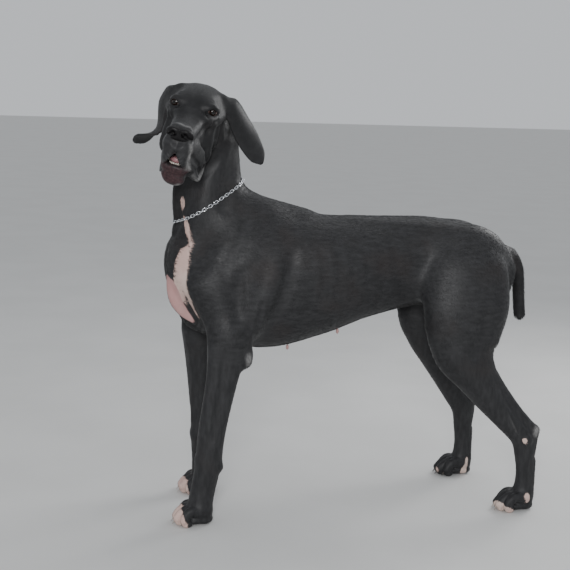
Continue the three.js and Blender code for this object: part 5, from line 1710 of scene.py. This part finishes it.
@dataclass(frozen=True)
class Coat:
    """The short black coat with its white and grey hair and the bare pink skin, with painted shade over the
    face and ears and a painted highlight over the nose.
    """

    black: Triple = (0.020, 0.020, 0.0212)
    grey_black: Triple = (0.033, 0.033, 0.0348)
    brown_black: Triple = (0.030, 0.025, 0.024)
    # Painted shade: a darker black that the face and ear flaps are mixed towards.
    face_shade: Triple = (0.0085, 0.0085, 0.009)
    cream: Triple = (0.63, 0.50, 0.44)
    warm: Triple = (0.57, 0.40, 0.355)
    pink: Triple = (0.42, 0.235, 0.225)
    pink_pale: Triple = (0.48, 0.31, 0.29)
    lip: Triple = (0.027, 0.0125, 0.0145)
    lip_pale: Triple = (0.060, 0.030, 0.033)
    # Grey of grizzled hair and calluses, also used for a painted highlight over the nose.
    grizzle_and_highlight: Triple = (0.30, 0.295, 0.29)
    roughness: float = 0.48

    def material(self) -> Material:
        """Return the material; it reads the values white, pink, lip, grey, down and face on the mesh."""
        s = Shader("black_coat")
        plain = s.spot()
        turn = tuple(Matrix(HEAD_PLACE[:3, :3].tolist()).to_euler())
        hair = self.grain(s, (55, 620, 620), (620, 620, 60), turn, 2.0)
        streak = self.grain(s, (34, 120, 120), (120, 120, 34), turn, 3.0)
        cloud = s.noise(plain, 9.0, 4.0)
        fleck = s.noise(plain, 300.0)
        colour = s.mix(s.span(streak, 0.3, 0.8), self.black, self.grey_black)
        colour = s.mix(s.span(cloud, 0.52, 0.78, 0, 0.6), colour, self.brown_black)
        # Painted shade: the coat over the face and ear flaps is mixed, in patches, towards a darker black.
        face = s.math("MULTIPLY", s.held("face"), s.span(cloud, 0.3, 0.7, 0.9, 0.45))
        colour = s.mix(face, colour, self.face_shade)
        # Grizzled hair and calluses, and a painted highlight over the top of the nose, mixed in along the
        # hair's grain.
        frost_and_highlight = s.math("MULTIPLY", s.span(s.held("grey"), -6.0, 7.0), s.span(hair, 0.32, 0.66, 0.25, 0.9))
        colour = s.mix(frost_and_highlight, colour, self.grizzle_and_highlight)
        blotch = s.sway(s.held("lip"), s.noise(plain, 85.0), 14.0)
        bare_lip = s.mix(s.span(s.noise(plain, 210.0, 4.0), 0.3, 0.72), self.lip, self.lip_pale)
        colour = s.mix(s.span(blotch, -5.0, 6.0, 0, 0.92), colour, bare_lip)
        edge = s.sway(s.sway(s.held("white"), streak, 8.0), hair, 4.0)
        warm = s.mix(s.span(cloud, 0.38, 0.62), self.cream, self.warm)
        colour = s.mix(s.span(edge, -1.2, 1.2), colour, warm)
        bare = s.mix(s.span(cloud, 0.35, 0.65), self.pink, self.pink_pale)
        colour = s.mix(s.span(s.held("pink"), -1.5, 2.0), colour, bare)
        s.link(colour, "Base Color")
        s.link(s.span(hair, 0.2, 0.8, self.roughness - 0.06, self.roughness + 0.1), "Roughness")
        normal = s.bump(cloud, 0.08, 0.003)
        normal = s.bump(streak, 0.07, 0.0008, normal)
        normal = s.bump(s.blend(s.span(s.held("lip"), -4.0, 4.0), hair, fleck), 0.4, 0.0005, normal)
        s.link(normal, "Normal")
        s.set(Sheen_Weight=0.03, Sheen_Roughness=0.45, Specular_IOR_Level=0.24)
        return s.material

    @staticmethod
    def grain(s: Shader, body: Row, leg: Row, turn: Row, detail: float) -> Socket:
        """Return noise drawn out along the hair: back along the body and the face, down neck and legs."""
        drawn = s.blend(s.held("down"), s.noise(s.spot(body), 1.0, detail),
                        s.noise(s.spot(leg), 1.0, detail))
        return s.blend(s.held("face"), drawn, s.noise(s.spot(body, turn), 1.0, detail))


@dataclass(frozen=True)
class EyeFinish:
    """A dark brown eye: pupil, iris, dark rim and reddish white, on the map named Gaze."""

    pupil: float = 15
    iris: float = 38
    rim: float = 43
    brown: Triple = (0.020, 0.008, 0.004)
    dark: Triple = (0.004, 0.002, 0.0015)
    white: Triple = (0.42, 0.30, 0.27)

    def material(self) -> Material:
        """Return the material."""
        s = Shader("eye")
        gaze = s.add("ShaderNodeUVMap", "UV", uv_map="Gaze")
        centred = s.add("ShaderNodeVectorMath", "Vector", {0: gaze, 1: (0.5, 0.5, 0)}, operation="SUBTRACT")
        far = s.add("ShaderNodeVectorMath", "Value", {0: centred}, operation="LENGTH")
        angle = s.math("MULTIPLY", far, 360.0)
        fibres = s.noise(centred, 90.0, 4.0)
        iris = s.mix(fibres, self.brown, self.dark)
        colour = s.mix(s.span(angle, self.pupil - 1, self.pupil + 2), (0.002, 0.002, 0.002), iris)
        colour = s.mix(s.span(angle, self.iris - 5, self.iris), colour, self.dark)
        veins = s.span(s.noise(s.spot(), 900.0), 0.5, 0.7, 0, 0.6)
        ball = s.mix(veins, self.white, (0.38, 0.12, 0.10))
        colour = s.mix(s.span(angle, self.rim - 3, self.rim + 3), colour, ball)
        s.link(colour, "Base Color")
        s.set(Roughness=0.1, Coat_Weight=0.6, Coat_Roughness=0.02, Specular_IOR_Level=0.15)
        return s.material


@dataclass(frozen=True)
class NoseLeather:
    """The pebbled, slightly moist skin of the nose."""

    colour: Triple = (0.006, 0.0055, 0.006)
    pebble_top: Triple = (0.0095, 0.0085, 0.0095)

    def material(self) -> Material:
        """Return the material."""
        s = Shader("nose_leather")
        plain = s.spot()
        pebbles = s.cells(plain, 760.0)
        # The pebble tops are a little lighter than the cracks between them.
        s.link(s.mix(s.span(pebbles, 0.1, 0.7), self.pebble_top, self.colour), "Base Color")
        s.link(s.span(s.noise(plain, 60.0), 0.3, 0.7, 0.36, 0.55), "Roughness")
        s.link(s.bump(s.math("SUBTRACT", 1.0, pebbles), 0.25, 0.0005), "Normal")
        s.set(Specular_IOR_Level=0.22)
        return s.material


@dataclass(frozen=True)
class SoftFinish:
    """A finish of two colours clouded into one another, with a fine bump."""

    name: str
    colour: Triple
    other: Triple
    scale: float
    rough: tuple[float, float]
    stretch: Triple = (1, 1, 1)
    metallic: float = 0.0
    coat: float = 0.0
    bump: float = 0.2

    def material(self) -> Material:
        """Return the material."""
        s = Shader(self.name)
        cloud = s.noise(s.spot(self.stretch), self.scale, 4.0)
        s.link(s.mix(s.span(cloud, 0.35, 0.65), self.colour, self.other), "Base Color")
        s.link(s.span(cloud, 0.3, 0.7, *self.rough), "Roughness")
        s.link(s.bump(cloud, self.bump, 0.0005), "Normal")
        s.set(Metallic=self.metallic, Coat_Weight=self.coat, Coat_Roughness=0.1)
        return s.material


GUM = SoftFinish("tongue_and_gum", (0.30, 0.135, 0.15), (0.42, 0.22, 0.23), 260.0, (0.22, 0.4), coat=0.4)
TOOTH = SoftFinish("tooth", (0.54, 0.48, 0.42), (0.66, 0.60, 0.53), 180.0, (0.2, 0.35), coat=0.3)
HORN = SoftFinish("claw_horn", (0.035, 0.03, 0.028), (0.11, 0.09, 0.08), 130.0, (0.25, 0.45), (0.3, 1, 1))
PALE_HORN = SoftFinish("pale_claw_horn", (0.30, 0.25, 0.21), (0.46, 0.40, 0.35), 130.0, (0.25, 0.45),
                       (0.3, 1, 1))
STEEL = SoftFinish("polished_steel", (0.8, 0.81, 0.83), (0.62, 0.63, 0.66), 420.0, (0.14, 0.3), metallic=1.0,
                   bump=0.08)
FLOOR = SoftFinish("floor", (0.58, 0.58, 0.57), (0.61, 0.61, 0.6), 3.0, (0.65, 0.75), bump=0.02)


def nearness(places: Array, rows: Sequence[Row]) -> Array:
    """Return how far inside a strip each place lies; a row holds x, y, z and half the width."""
    table = np.array(rows, dtype=float)
    if len(table) == 1:
        table = np.vstack([table, table + (0.01, 0, 0, 0)])
    best = np.full(len(places), -200.0)
    for a, b in zip(table[:-1], table[1:]):
        run = b[:3] - a[:3]
        t = np.clip((places - a[:3]) @ run / (run @ run), 0, 1)
        far = np.linalg.norm(places - a[:3] - t[:, None] * run, axis=1)
        best = np.maximum(best, a[3] + (b[3] - a[3]) * t - far)
    return best


def deepest(places: Array, strips: Sequence[Sequence[Row]]) -> Array:
    """Return how far inside the nearest of several strips each place lies."""
    return np.max([nearness(places, strip) for strip in strips], axis=0)


def within(places: Array, rows: Sequence[Row], edge: float) -> Array:
    """Return 0 to 1 as places go into a strip over an edge of this width."""
    return np.clip(nearness(places, rows) / edge + 0.5, 0, 1)


@dataclass(frozen=True)
class Markings:
    """Where the coat is white, grizzled, bare or lighter as a painted highlight, as strips with a place and
    half width in each row.
    """

    throat: tuple[Row, ...] = ((-43, -35, 774, 7), (-43, -38, 763, 9.5), (-43, -38, 755, 5))
    streak: tuple[Row, ...] = ((-40, -44, 736, 3), (-36, -53, 718, 7), (-33, -58, 702, 6),
                               (-31, -64, 684, 4.5), (-29, -70, 668, 6))
    chest: tuple[Row, ...] = ((-40, -66, 656, 12), (-46, -68, 638, 16), (-50, -70, 614, 18),
                              (-46, -76, 590, 15), (-38, -84, 566, 11), (-30, -86, 545, 8),
                              (-16, -68, 514, 5), (-6, -62, 498, 2))
    breast: tuple[Row, ...] = ((-56, -60, 602, 8), (-55, -62, 582, 12), (-50, -62, 558, 14),
                               (-38, -62, 534, 6))
    fold: tuple[Row, ...] = ((-73, -28, 588, 8), (-68, -42, 570, 18), (-62, -48, 552, 20),
                             (-54, -48, 528, 17), (-38, -46, 504, 12), (-14, -46, 484, 5))
    fore_left: tuple[Row, ...] = ((-62, -124, 8, 34), (-50, -100, 10, 36))
    fore_right: tuple[Row, ...] = ((-22, 92, 10, 34), (-18, 112, 8, 32))
    hind_left: tuple[Row, ...] = ((752, -150, 6, 22), (772, -166, 4, 15), (786, -172, 2, 9))
    hind_right: tuple[Row, ...] = ((690, 128, 14, 13),)
    hind_right_heel: tuple[Row, ...] = ((772, 114, 6, 9), (775, 113, 26, 8), (780, 111, 52, 3.5))
    heel: tuple[Row, ...] = ((828, -166, 42, 8), (830, -166, 28, 6))
    hock_side: tuple[Row, ...] = ((811, -160, 187, 7),)

    def white(self, places: Array) -> Array:
        """Return how far inside the white hair each place lies."""
        strips = (self.throat, self.streak, self.chest, self.breast, self.fore_left, self.fore_right,
                  self.hind_left, self.hind_right, self.hind_right_heel, self.heel, self.hock_side)
        return deepest(places, strips)

    def pink(self, places: Array) -> Array:
        """Return how far inside the bare pink fold of the chest or a nipple each place lies."""
        spots = [[(x, y, z - 2, 9.5)] for side in Side for x, y, z in mirror(STANCE.nipples, side)]
        return deepest(places, [self.fold, *spots])

    def lip(self, on_head: Array) -> Array:
        """Return how far inside the bare lips each place lies, in the head's frame."""
        strips = [
            [(96, -26, -122, 12), (104, -6, -122, 13), (102, 14, -122, 12), (88, 28, -122, 8)],
            [(94, -22, -140, 12), (98, 0, -142, 13), (92, 18, -142, 9)],
            [(122, -2, -78, 4), (118, -14, -92, 5), (106, -24, -106, 6), (84, -30, -118, 6)],
            [(122, 2, -78, 3), (118, 14, -92, 3), (106, 22, -104, 4), (88, 27, -114, 4)],
        ]
        return deepest(on_head, strips)

    def grey(self, places: Array, on_head: Array) -> Array:
        """Return how far inside the grizzled hair, the calluses, a faint grey streak down the heel tendon
        and a painted highlight over the nose each place lies.
        """
        face = [
            [(122, 26, -40, 1), (118, 30, -56, 5), (112, 31, -72, 8), (112, 25, -85, 8), (106, 25, -97, 8),
             (96, 31, -108, 8), (84, 37, -116, 4)],
            [(114, -26, -72, 2), (106, -28, -92, 3)],
            [(58, 40, -134, 3), (34, 50, -156, 4)], [(34, 50, -156, 4), (12, 56, -130, 3)],
            [(100, 24, -148, 4), (90, 6, -158, 4)],
            # Painted highlight: a pale band over the top of the nose, where light catches the muzzle.
            [(104, 22, -16, 1), (118, 8, -10, 2), (104, -20, -14, 1)],
            [tuple(EYES[0].spot(*spot)) + (half,) for spot, half in (
                ((15, -8, -11), 0.5), ((15, 2, -12.5), 1.0), ((9, 14, -10), 1.5), ((4, 19, -5), 2.0))],
        ]
        body = [[(106, -122, 412, 9), (108, -116, 396, 8)], [(850, -150, 212, 9), (846, -151, 200, 7)],
                # A faint grey streak down the heel tendon.
                [(748, -150, 292, -4), (770, -154, 246, -1), (792, -156, 204, -1)],
                [(78, 108, 404, 12)], [(800, 150, 206, 9)]]
        return np.maximum(deepest(on_head, face), deepest(places, body))


@dataclass(frozen=True)
class Lie:
    """Which way the hair lies: from the nose backwards, along the body and down the legs, ears and tail."""

    @staticmethod
    def lines() -> list[tuple[Line, float]]:
        """Return the lines that the hair follows, each with its reach."""
        rows: list[tuple[Sequence[Row], float]] = [
            ([(60, 0, 640), (200, 0, 640), (400, 0, 650), (600, 0, 640), (780, 0, 560)], 110),
            ([(0, -34, 985), (20, -4, 868), (30, 0, 760), (40, 0, 640), (60, 0, 560)], 70),
            ([tuple(from_head(120, 0, -40)), tuple(from_head(40, 0, -30)), tuple(from_head(-60, 0, 0)),
              tuple(from_head(-120, 0, -30))], 45),
            ([(770, 0, 650), (810, 0, 630), (836, 0, 560), (850, 0, 470)], 18),
        ]
        for side in Side:
            fore, hind = ForeLeg(side), HindLeg(side)
            y = STANCE.fore_y[side]
            rows.append(([(90, 80 * side, 640), (fore.down(0), y, 430), (fore.down(0.7), y, 150),
                          (fore.down(1) - 6, y, 60), (fore.down(1) - 70, y, 10)], 40))
            rows.append(([(660, 80 * side, 620), (hind.back(0), hind.out(0.2), 420),
                          (hind.back(0.9), hind.out(0.9), 200), (hind.back(1), hind.out(1), 60),
                          (hind.back(1) - 76, hind.out(1), 10)], 44))
        rows += [(ear.strip(), 14) for ear in EARS]
        return [(Line(1, [(*row, 1) for row in line], up=(0.3, 0.9, 0.2)), reach) for line, reach in rows]

    def at(self, places: Array, normals: Array) -> Array:
        """Return the direction of the hair at each place, along the surface."""
        total = np.zeros_like(places)
        for line, reach in self.lines():
            at, part = line.nearest(places)
            far = np.linalg.norm(places - between(line.places, at, part), axis=1) / reach
            total += between(line.frames[:, 0], at, part) / (far[:, None] ** 6 + 0.02)
        total[:, 2] -= 0.04 * np.linalg.norm(total, axis=1)
        total -= normals * np.sum(total * normals, axis=1, keepdims=True)
        return units(total)


def on_ears(places: Array) -> Array:
    """Return how much each place belongs to an ear flap, from 0 to 1."""
    return np.maximum(*[within(places, ear.strip(EAR_HALF), 14) for ear in EARS])


def mark_mesh(mesh: Mesh, places: Array) -> None:
    """Store the values that the coat reads on the vertices of a mesh.

    Args:
        mesh: The skin or a piece of the coat.
        places: The stance place that each vertex takes its colour from.
    """
    marks = Markings()
    on_head = to_head(places)
    lower = ramp(places[:, 2], 470, 350)
    neck = np.clip(1 - np.abs(places[:, 0] - 10) / 90, 0, 1) * ramp(places[:, 2], 640, 760)
    # face marks the head and ear flaps, both for the lie of the hair and for painted shade: the coat there
    # is painted darker, and on the flaps most near their roots.
    head = ramp(np.linalg.norm(on_head + (10, 0, 40), axis=1), 130, 100)
    flap = ramp(on_head[:, 2], -130, -70)
    head = np.maximum(head, (0.45 + 0.5 * flap) * on_ears(places))
    values = {
        "white": marks.white(places), "pink": marks.pink(places), "lip": marks.lip(on_head),
        "grey": marks.grey(places, on_head), "down": np.maximum(lower, neck), "face": head,
    }
    for name, value in values.items():
        layer = mesh.attributes.new(name, "FLOAT", "POINT")
        layer.data.foreach_set("value", np.clip(value, -20, 20).astype(np.float32))


@dataclass(frozen=True)
class Ruff:
    """A strip where the short hair stands out a little from the form."""

    rows: tuple[Row, ...]
    dense: float
    long: float
    lift: float


def ruffs() -> list[Ruff]:
    """Return the strips where the coat breaks the dog's outline."""
    strips = [
        Ruff(((150, 0, 412, 40), (300, 0, 440, 40), (450, 0, 480, 40), (540, 0, 500, 60)), 2.5, 8, 10),
        Ruff(((-66, 0, 640, 30), (-60, 0, 560, 34), (-20, 0, 480, 34), (80, 0, 412, 36)), 1.5, 6.5, 7),
        Ruff(((120, 0, 800, 26), (100, -14, 880, 24), (90, -30, 950, 24)), 1.0, 7, 7),
        Ruff(((-50, -40, 870, 30), (-60, -10, 780, 28), (-62, 0, 700, 26)), 1.0, 6, 6),
        Ruff(((820, 0, 640, 26), (836, 0, 580, 26), (850, 0, 480, 26)), 3.0, 9, 9),
    ]
    for side in Side:
        y, hind = STANCE.fore_y[side], HindLeg(side)
        strips += [
            Ruff(((796, 50 * side, 600, 30), (776, 92 * side, 520, 34), (744, 118 * side, 430, 34)),
                 2.5, 9, 11),
            Ruff(((556, 92 * side, 500, 26), (604, 120 * side, 446, 26)), 2.0, 8, 10),
            Ruff(((110, y, 400, 22), (88, y, 300, 16), (70, y, 190, 16)), 1.5, 6, 7),
            Ruff(((hind.back(1.1) + 16, hind.out(1), 200, 18), (hind.back(1.1) + 10, hind.out(1), 60, 20)),
                 1.0, 6, 7),
        ]
    return strips + [Ruff(ear.strip(EAR_HALF), 2.0, 2.8, 2.5) for ear in EARS]


@dataclass
class Fur:
    """Small flat tufts of hair over the skin, lying along the coat and longest where it breaks the form."""

    seed: int
    count: int
    low: Row
    high: Row
    width: float
    flat: Triple = (1.0, 1.0, 0.35)
    patch: float = 0.003
    long: float = 6.6
    lift: float = 3.5
    on_ear: tuple[float, float] = (2.6, 1.5)
    stray: float = 0.16
    ruffle: float = 0.10
    sunk: float = 1.2
    bare_eye: float = 21
    bare_sole: float = 7

    def roots(self, skin: Mesh, studio: Studio) -> tuple[Array, Array]:
        """Return where the tufts grow on the skin and the skin's normals there."""
        rng = np.random.default_rng(self.seed)
        skin.calc_loop_triangles()
        spots = read(skin.vertices, "co") / MM - studio.shift
        tris = read(skin.loop_triangles, "vertices", 3, np.int32)
        a, b, c = spots[tris[:, 0]], spots[tris[:, 1]], spots[tris[:, 2]]
        middle = (a + b + c) / 3
        weight = np.linalg.norm(np.cross(b - a, c - a), axis=1) * self.density(middle)
        weight *= np.all((middle >= self.low) & (middle < self.high), axis=1)
        chosen = rng.choice(len(tris), self.count, p=weight / weight.sum())
        u, v = rng.random((2, self.count, 1))
        flip = u + v > 1
        u, v = np.where(flip, 1 - u, u), np.where(flip, 1 - v, v)
        places = a[chosen] + (b - a)[chosen] * u + (c - a)[chosen] * v
        slopes = read(skin.vertices, "normal")[tris[chosen]]
        normals = slopes[:, 0] * (1 - u - v) + slopes[:, 1] * u + slopes[:, 2] * v
        return places, units(normals)

    def density(self, places: Array) -> Array:
        """Return how thickly tufts grow, with none on the nose, lips, eyes and soles."""
        on_head = to_head(places)
        thick = np.ones(len(places))
        for ruff in ruffs():
            thick += ruff.dense * within(places, ruff.rows, 12)
        face = ramp(np.linalg.norm(on_head - (10, 0, -60), axis=1), 170, 140)
        thick *= 1 + 3.0 * face
        thick *= 1 + 2.0 * (places[:, 2] < 60)
        bare = places[:, 2] < self.bare_sole
        for eye in EYES:
            bare |= np.linalg.norm(on_head - eye.centre(), axis=1) < self.bare_eye
        bare |= np.linalg.norm((on_head - (122, 0, -29)) / (22, 34, 24), axis=1) < 1
        bare |= Markings().lip(on_head) > -2
        bare |= Markings().pink(places) > -1
        return np.where(bare, 0, thick)

    def shape(self, places: Array) -> tuple[Array, Array]:
        """Return each tuft's length in millimetres and its lift from the skin in degrees."""
        on_head = to_head(places)
        face = ramp(np.linalg.norm(on_head - (10, 0, -60), axis=1), 170, 130)
        foot = ramp(places[:, 2], 90, 50)
        leg = ramp(places[:, 2], 460, 360)
        long = self.long - 3.6 * face - 1.6 * leg - 1.4 * foot
        lift = self.lift - 0.5 * face
        for ruff in ruffs():
            share = within(places, ruff.rows, 14)
            long += (np.maximum(ruff.long, long) - long) * share * (1 - 0.6 * face)
            lift += (np.maximum(ruff.lift, lift) - lift) * share
        flap = on_ears(places)
        return long + (self.on_ear[0] - long) * flap, lift + (self.on_ear[1] - lift) * flap

    def unwrap(self, places: Array) -> Array:
        """Return each root's place on an unwrap of the skin: round and along each part, part by part."""
        lines = Lie.lines()
        best = np.full(len(places), np.inf)
        result = np.zeros((len(places), 3))
        for tile, (line, reach) in enumerate(lines):
            at, part = line.nearest(places)
            offset = places - between(line.places, at, part)
            far = np.linalg.norm(offset, axis=1) / reach
            over = np.sum(offset * line.frames[at, 1], axis=1)
            aside = np.sum(offset * line.frames[at, 2], axis=1)
            round_it = np.arctan2(aside, over) / (2 * math.pi) + 0.5
            along = (at + part) / (len(line.places) - 1)
            column, row = tile % 4, tile // 4
            place = np.stack([(column + 0.03 + 0.92 * round_it) / 4, (row + 0.03 + 0.92 * along) / 3,
                              np.zeros(len(places))], axis=1)
            closer = far < best
            best[closer], result[closer] = far[closer], place[closer]
        return result

    def locks(self, tree: Growth) -> Socket:
        """Return one closed, flat lock on every root, with the map for baking."""
        add, given = tree.add, tree.given
        cone = add("GeometryNodeMeshCone", "Mesh", {
            "Vertices": 3, "Side Segments": 1, "Fill Segments": 1, "Radius Top": 0.0, "Radius Bottom": 0.5,
            "Depth": 1.0}, fill_type="NGON")
        turned = add("GeometryNodeTransform", "Geometry",
                     {"Geometry": cone, "Rotation": (0, math.pi / 2, 0)})
        where = add("GeometryNodeInputPosition", "Position")
        flat = add("ShaderNodeVectorMath", "Vector", {0: where, 1: given["Flat"]}, operation="MULTIPLY")
        shaped = add("GeometryNodeSetPosition", "Geometry", {"Geometry": turned, "Position": flat})
        patch = add("GeometryNodeStoreNamedAttribute", "Geometry", {
            "Name": "patch", "Geometry": shaped, "Value": where}, data_type="FLOAT_VECTOR")
        way = add("FunctionNodeAxesToRotation", "Rotation", {
            "Primary Axis": tree.held("lay"), "Secondary Axis": tree.held("out")},
            primary_axis="X", secondary_axis="Z")
        real = tree.real(tree.place(given["Geometry"], patch, way, tree.held("size")))
        scaled = add("ShaderNodeVectorMath", "Vector", {
            0: tree.held("patch"), "Scale": given["Patch"]}, operation="SCALE")
        total = add("ShaderNodeVectorMath", "Vector", {0: tree.held("root"), 1: scaled})
        return add("GeometryNodeStoreNamedAttribute", "Geometry", {
            "Name": "OFBake", "Geometry": real, "Value": total}, data_type="FLOAT2", domain="CORNER")

    def build(self, studio: Studio, skin: Mesh, name: str, material: Material) -> Piece:
        """Build one piece of the coat.

        Args:
            studio: Takes the finished mesh.
            skin: The skin's mesh that the tufts grow on.
            name: Name of the piece.
            material: The coat's finish.
        """
        rng = np.random.default_rng(self.seed + 1)
        places, normals = self.roots(skin, studio)
        long, lift = self.shape(places)
        lay = Lie().at(places, normals)
        aside = np.cross(normals, lay)
        yaw = rng.normal(0, self.stray, (self.count, 1))
        lay = lay * np.cos(yaw) + aside * np.sin(yaw)
        tilt = np.radians(lift * rng.uniform(0.6, 1.3, self.count))[:, None]
        along = lay * np.cos(tilt) + normals * np.sin(tilt)
        out = normals * np.cos(tilt) - lay * np.sin(tilt)
        long *= rng.uniform(0.75, 1.25, self.count)
        wide = self.width * (0.5 + 0.5 * long / 8.5) * rng.uniform(0.8, 1.2, self.count)
        centre = places + along * (0.5 * long[:, None] - self.sunk)
        mesh = bpy.data.meshes.new("roots")
        mesh.vertices.add(self.count)
        mesh.vertices.foreach_set("co", studio.place(centre).ravel())
        shine = units(normals + rng.normal(0, self.ruffle, normals.shape))
        for key, value in (("lay", along), ("out", out), ("shine", shine), ("root", self.unwrap(places)),
                           ("size", np.stack([long, wide, wide], axis=1) * MM)):
            layer = mesh.attributes.new(key, "FLOAT_VECTOR", "POINT")
            layer.data.foreach_set("vector", value.astype(np.float32).ravel())
        mark_mesh(mesh, places)
        tree = Growth("coat_tufts", {"Flat": "Vector", "Patch": "Float"})
        result = tree.run(put("roots", mesh), self.locks(tree), material,
                          {"Flat": self.flat, "Patch": self.patch})
        turned = read(result.attributes["shine"].data, "vector")
        result.shade_smooth()
        result.normals_split_custom_set_from_vertices(turned.tolist())
        for key in ("lay", "out", "shine", "root", "size", "patch"):
            if key in result.attributes:
                result.attributes.remove(result.attributes[key])
        return studio.add(name, result, material, "coat")


COAT_PARTS = {
    "coat_head": Fur(11, 44000, (-400, -400, 815), (400, 400, 1200), 0.9),
    "coat_neck_and_chest": Fur(23, 42000, (-400, -400, 440), (130, 400, 815), 1.2),
    "coat_trunk": Fur(37, 46000, (130, -400, 400), (560, 400, 815), 1.3),
    "coat_haunch_and_tail": Fur(41, 46000, (560, -400, 330), (1000, 400, 815), 1.2),
    "coat_legs": Fur(53, 44000, (-400, -400, 0), (1000, 400, 400), 1.1),
}


@dataclass
class Stage:
    """The camera, the floor and the studio light; a lamp has its place, its aim, its size and its power."""

    eye: Triple = (-408, -2590.3, 1039)
    ahead: Triple = (0.2317, 0.9566, -0.1767)
    right: Triple = (0.9727, -0.2296, 0.0326)
    view: float = 1100 / 570
    floor_half: float = 30
    room: Triple = (0.93, 0.96, 1.0)
    room_strength: float = 0.68
    lamps: tuple[tuple[str, Triple, Triple, float, float], ...] = (
        ("overhead", (0.8, 0.5, 3.1), (0, 0, 0.6), 2.4, 8),
        ("back", (1.8, 0.9, 1.7), (0.4, 0, 0.7), 1.0, 26),
        ("side", (-1.0, -3.1, 1.6), (0, 0, 0.6), 0.7, 64),
    )

    def camera(self, studio: Studio) -> None:
        """Set the camera where the photograph was taken from."""
        data = bpy.data.cameras.new("camera")
        data.sensor_width = 36
        data.lens = 36 * self.view
        data.clip_end = 60
        camera = put("camera", data)
        ahead = Vector(self.ahead).normalized()
        right = Vector(self.right).normalized()
        over = right.cross(ahead)
        turn = Matrix((right, over, -ahead)).transposed().to_4x4()
        camera.matrix_world = Matrix.Translation(studio.place(self.eye)) @ turn
        bpy.context.scene.camera = camera

    def floor(self) -> None:
        """Lay the pale floor."""
        mesh = bpy.data.meshes.new("floor")
        size = self.floor_half
        mesh.from_pydata([(-size, -size, 0), (size, -size, 0), (size, size, 0), (-size, size, 0)], [],
                         [(0, 1, 2, 3)])
        mesh.materials.append(FLOOR.material())
        put("floor", mesh)

    def lights(self) -> None:
        """Hang a broad soft light overhead, and light the room a little from all sides."""
        world = bpy.data.worlds.new("room")
        world.use_nodes = True
        room = world.node_tree.nodes["Background"]
        room.inputs["Color"].default_value = (*self.room, 1)
        room.inputs["Strength"].default_value = self.room_strength
        bpy.context.scene.world = world
        for name, place, aim, size, power in self.lamps:
            data = bpy.data.lights.new(name, "AREA")
            data.shape = "SQUARE"
            data.size = size
            data.energy = power
            lamp = put(name, data)
            turn = (Vector(aim) - Vector(place)).to_track_quat("-Z", "Y")
            lamp.matrix_world = Matrix.Translation(place) @ turn.to_matrix().to_4x4()


def main() -> None:
    """Build the dog piece by piece and light it."""
    logging.basicConfig(level=logging.INFO, format="%(asctime)s %(message)s")
    for thing in list(bpy.data.objects):
        bpy.data.objects.remove(thing)
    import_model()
    studio = Studio(frame_shift())
    LOG.info("shift %s", studio.shift)
    coat, nose, eye = Coat().material(), NoseLeather().material(), EyeFinish().material()
    mouth, teeth, steel = GUM.material(), TOOTH.material(), STEEL.material()
    horn, pale_horn = HORN.material(), PALE_HORN.material()
    skin, body = Skin().build(studio, coat)
    for name, fur in COAT_PARTS.items():
        fur.build(studio, skin.data, name, coat)
    NosePad().build(studio, nose)
    for ball, word in zip(EYES, ("left", "right")):
        Eyeball().build(studio, ball, f"eyeball_{word}", eye, f"eye_{word}")
    Mouth().tongue(studio, mouth)
    Mouth().teeth(studio, teeth)
    for side, word in ((LEFT, "left"), (RIGHT, "right")):
        Claws().build(studio, ForeLeg(side).paw(), f"fore_claws_{word}", pale_horn)
        Claws().build(studio, HindLeg(side).paw(), f"hind_claws_{word}", pale_horn if side == LEFT else horn)
    Collar().build(studio, body, steel)
    stage = Stage()
    stage.camera(studio)
    stage.floor()
    stage.lights()


if __name__ == "__main__":
    main()
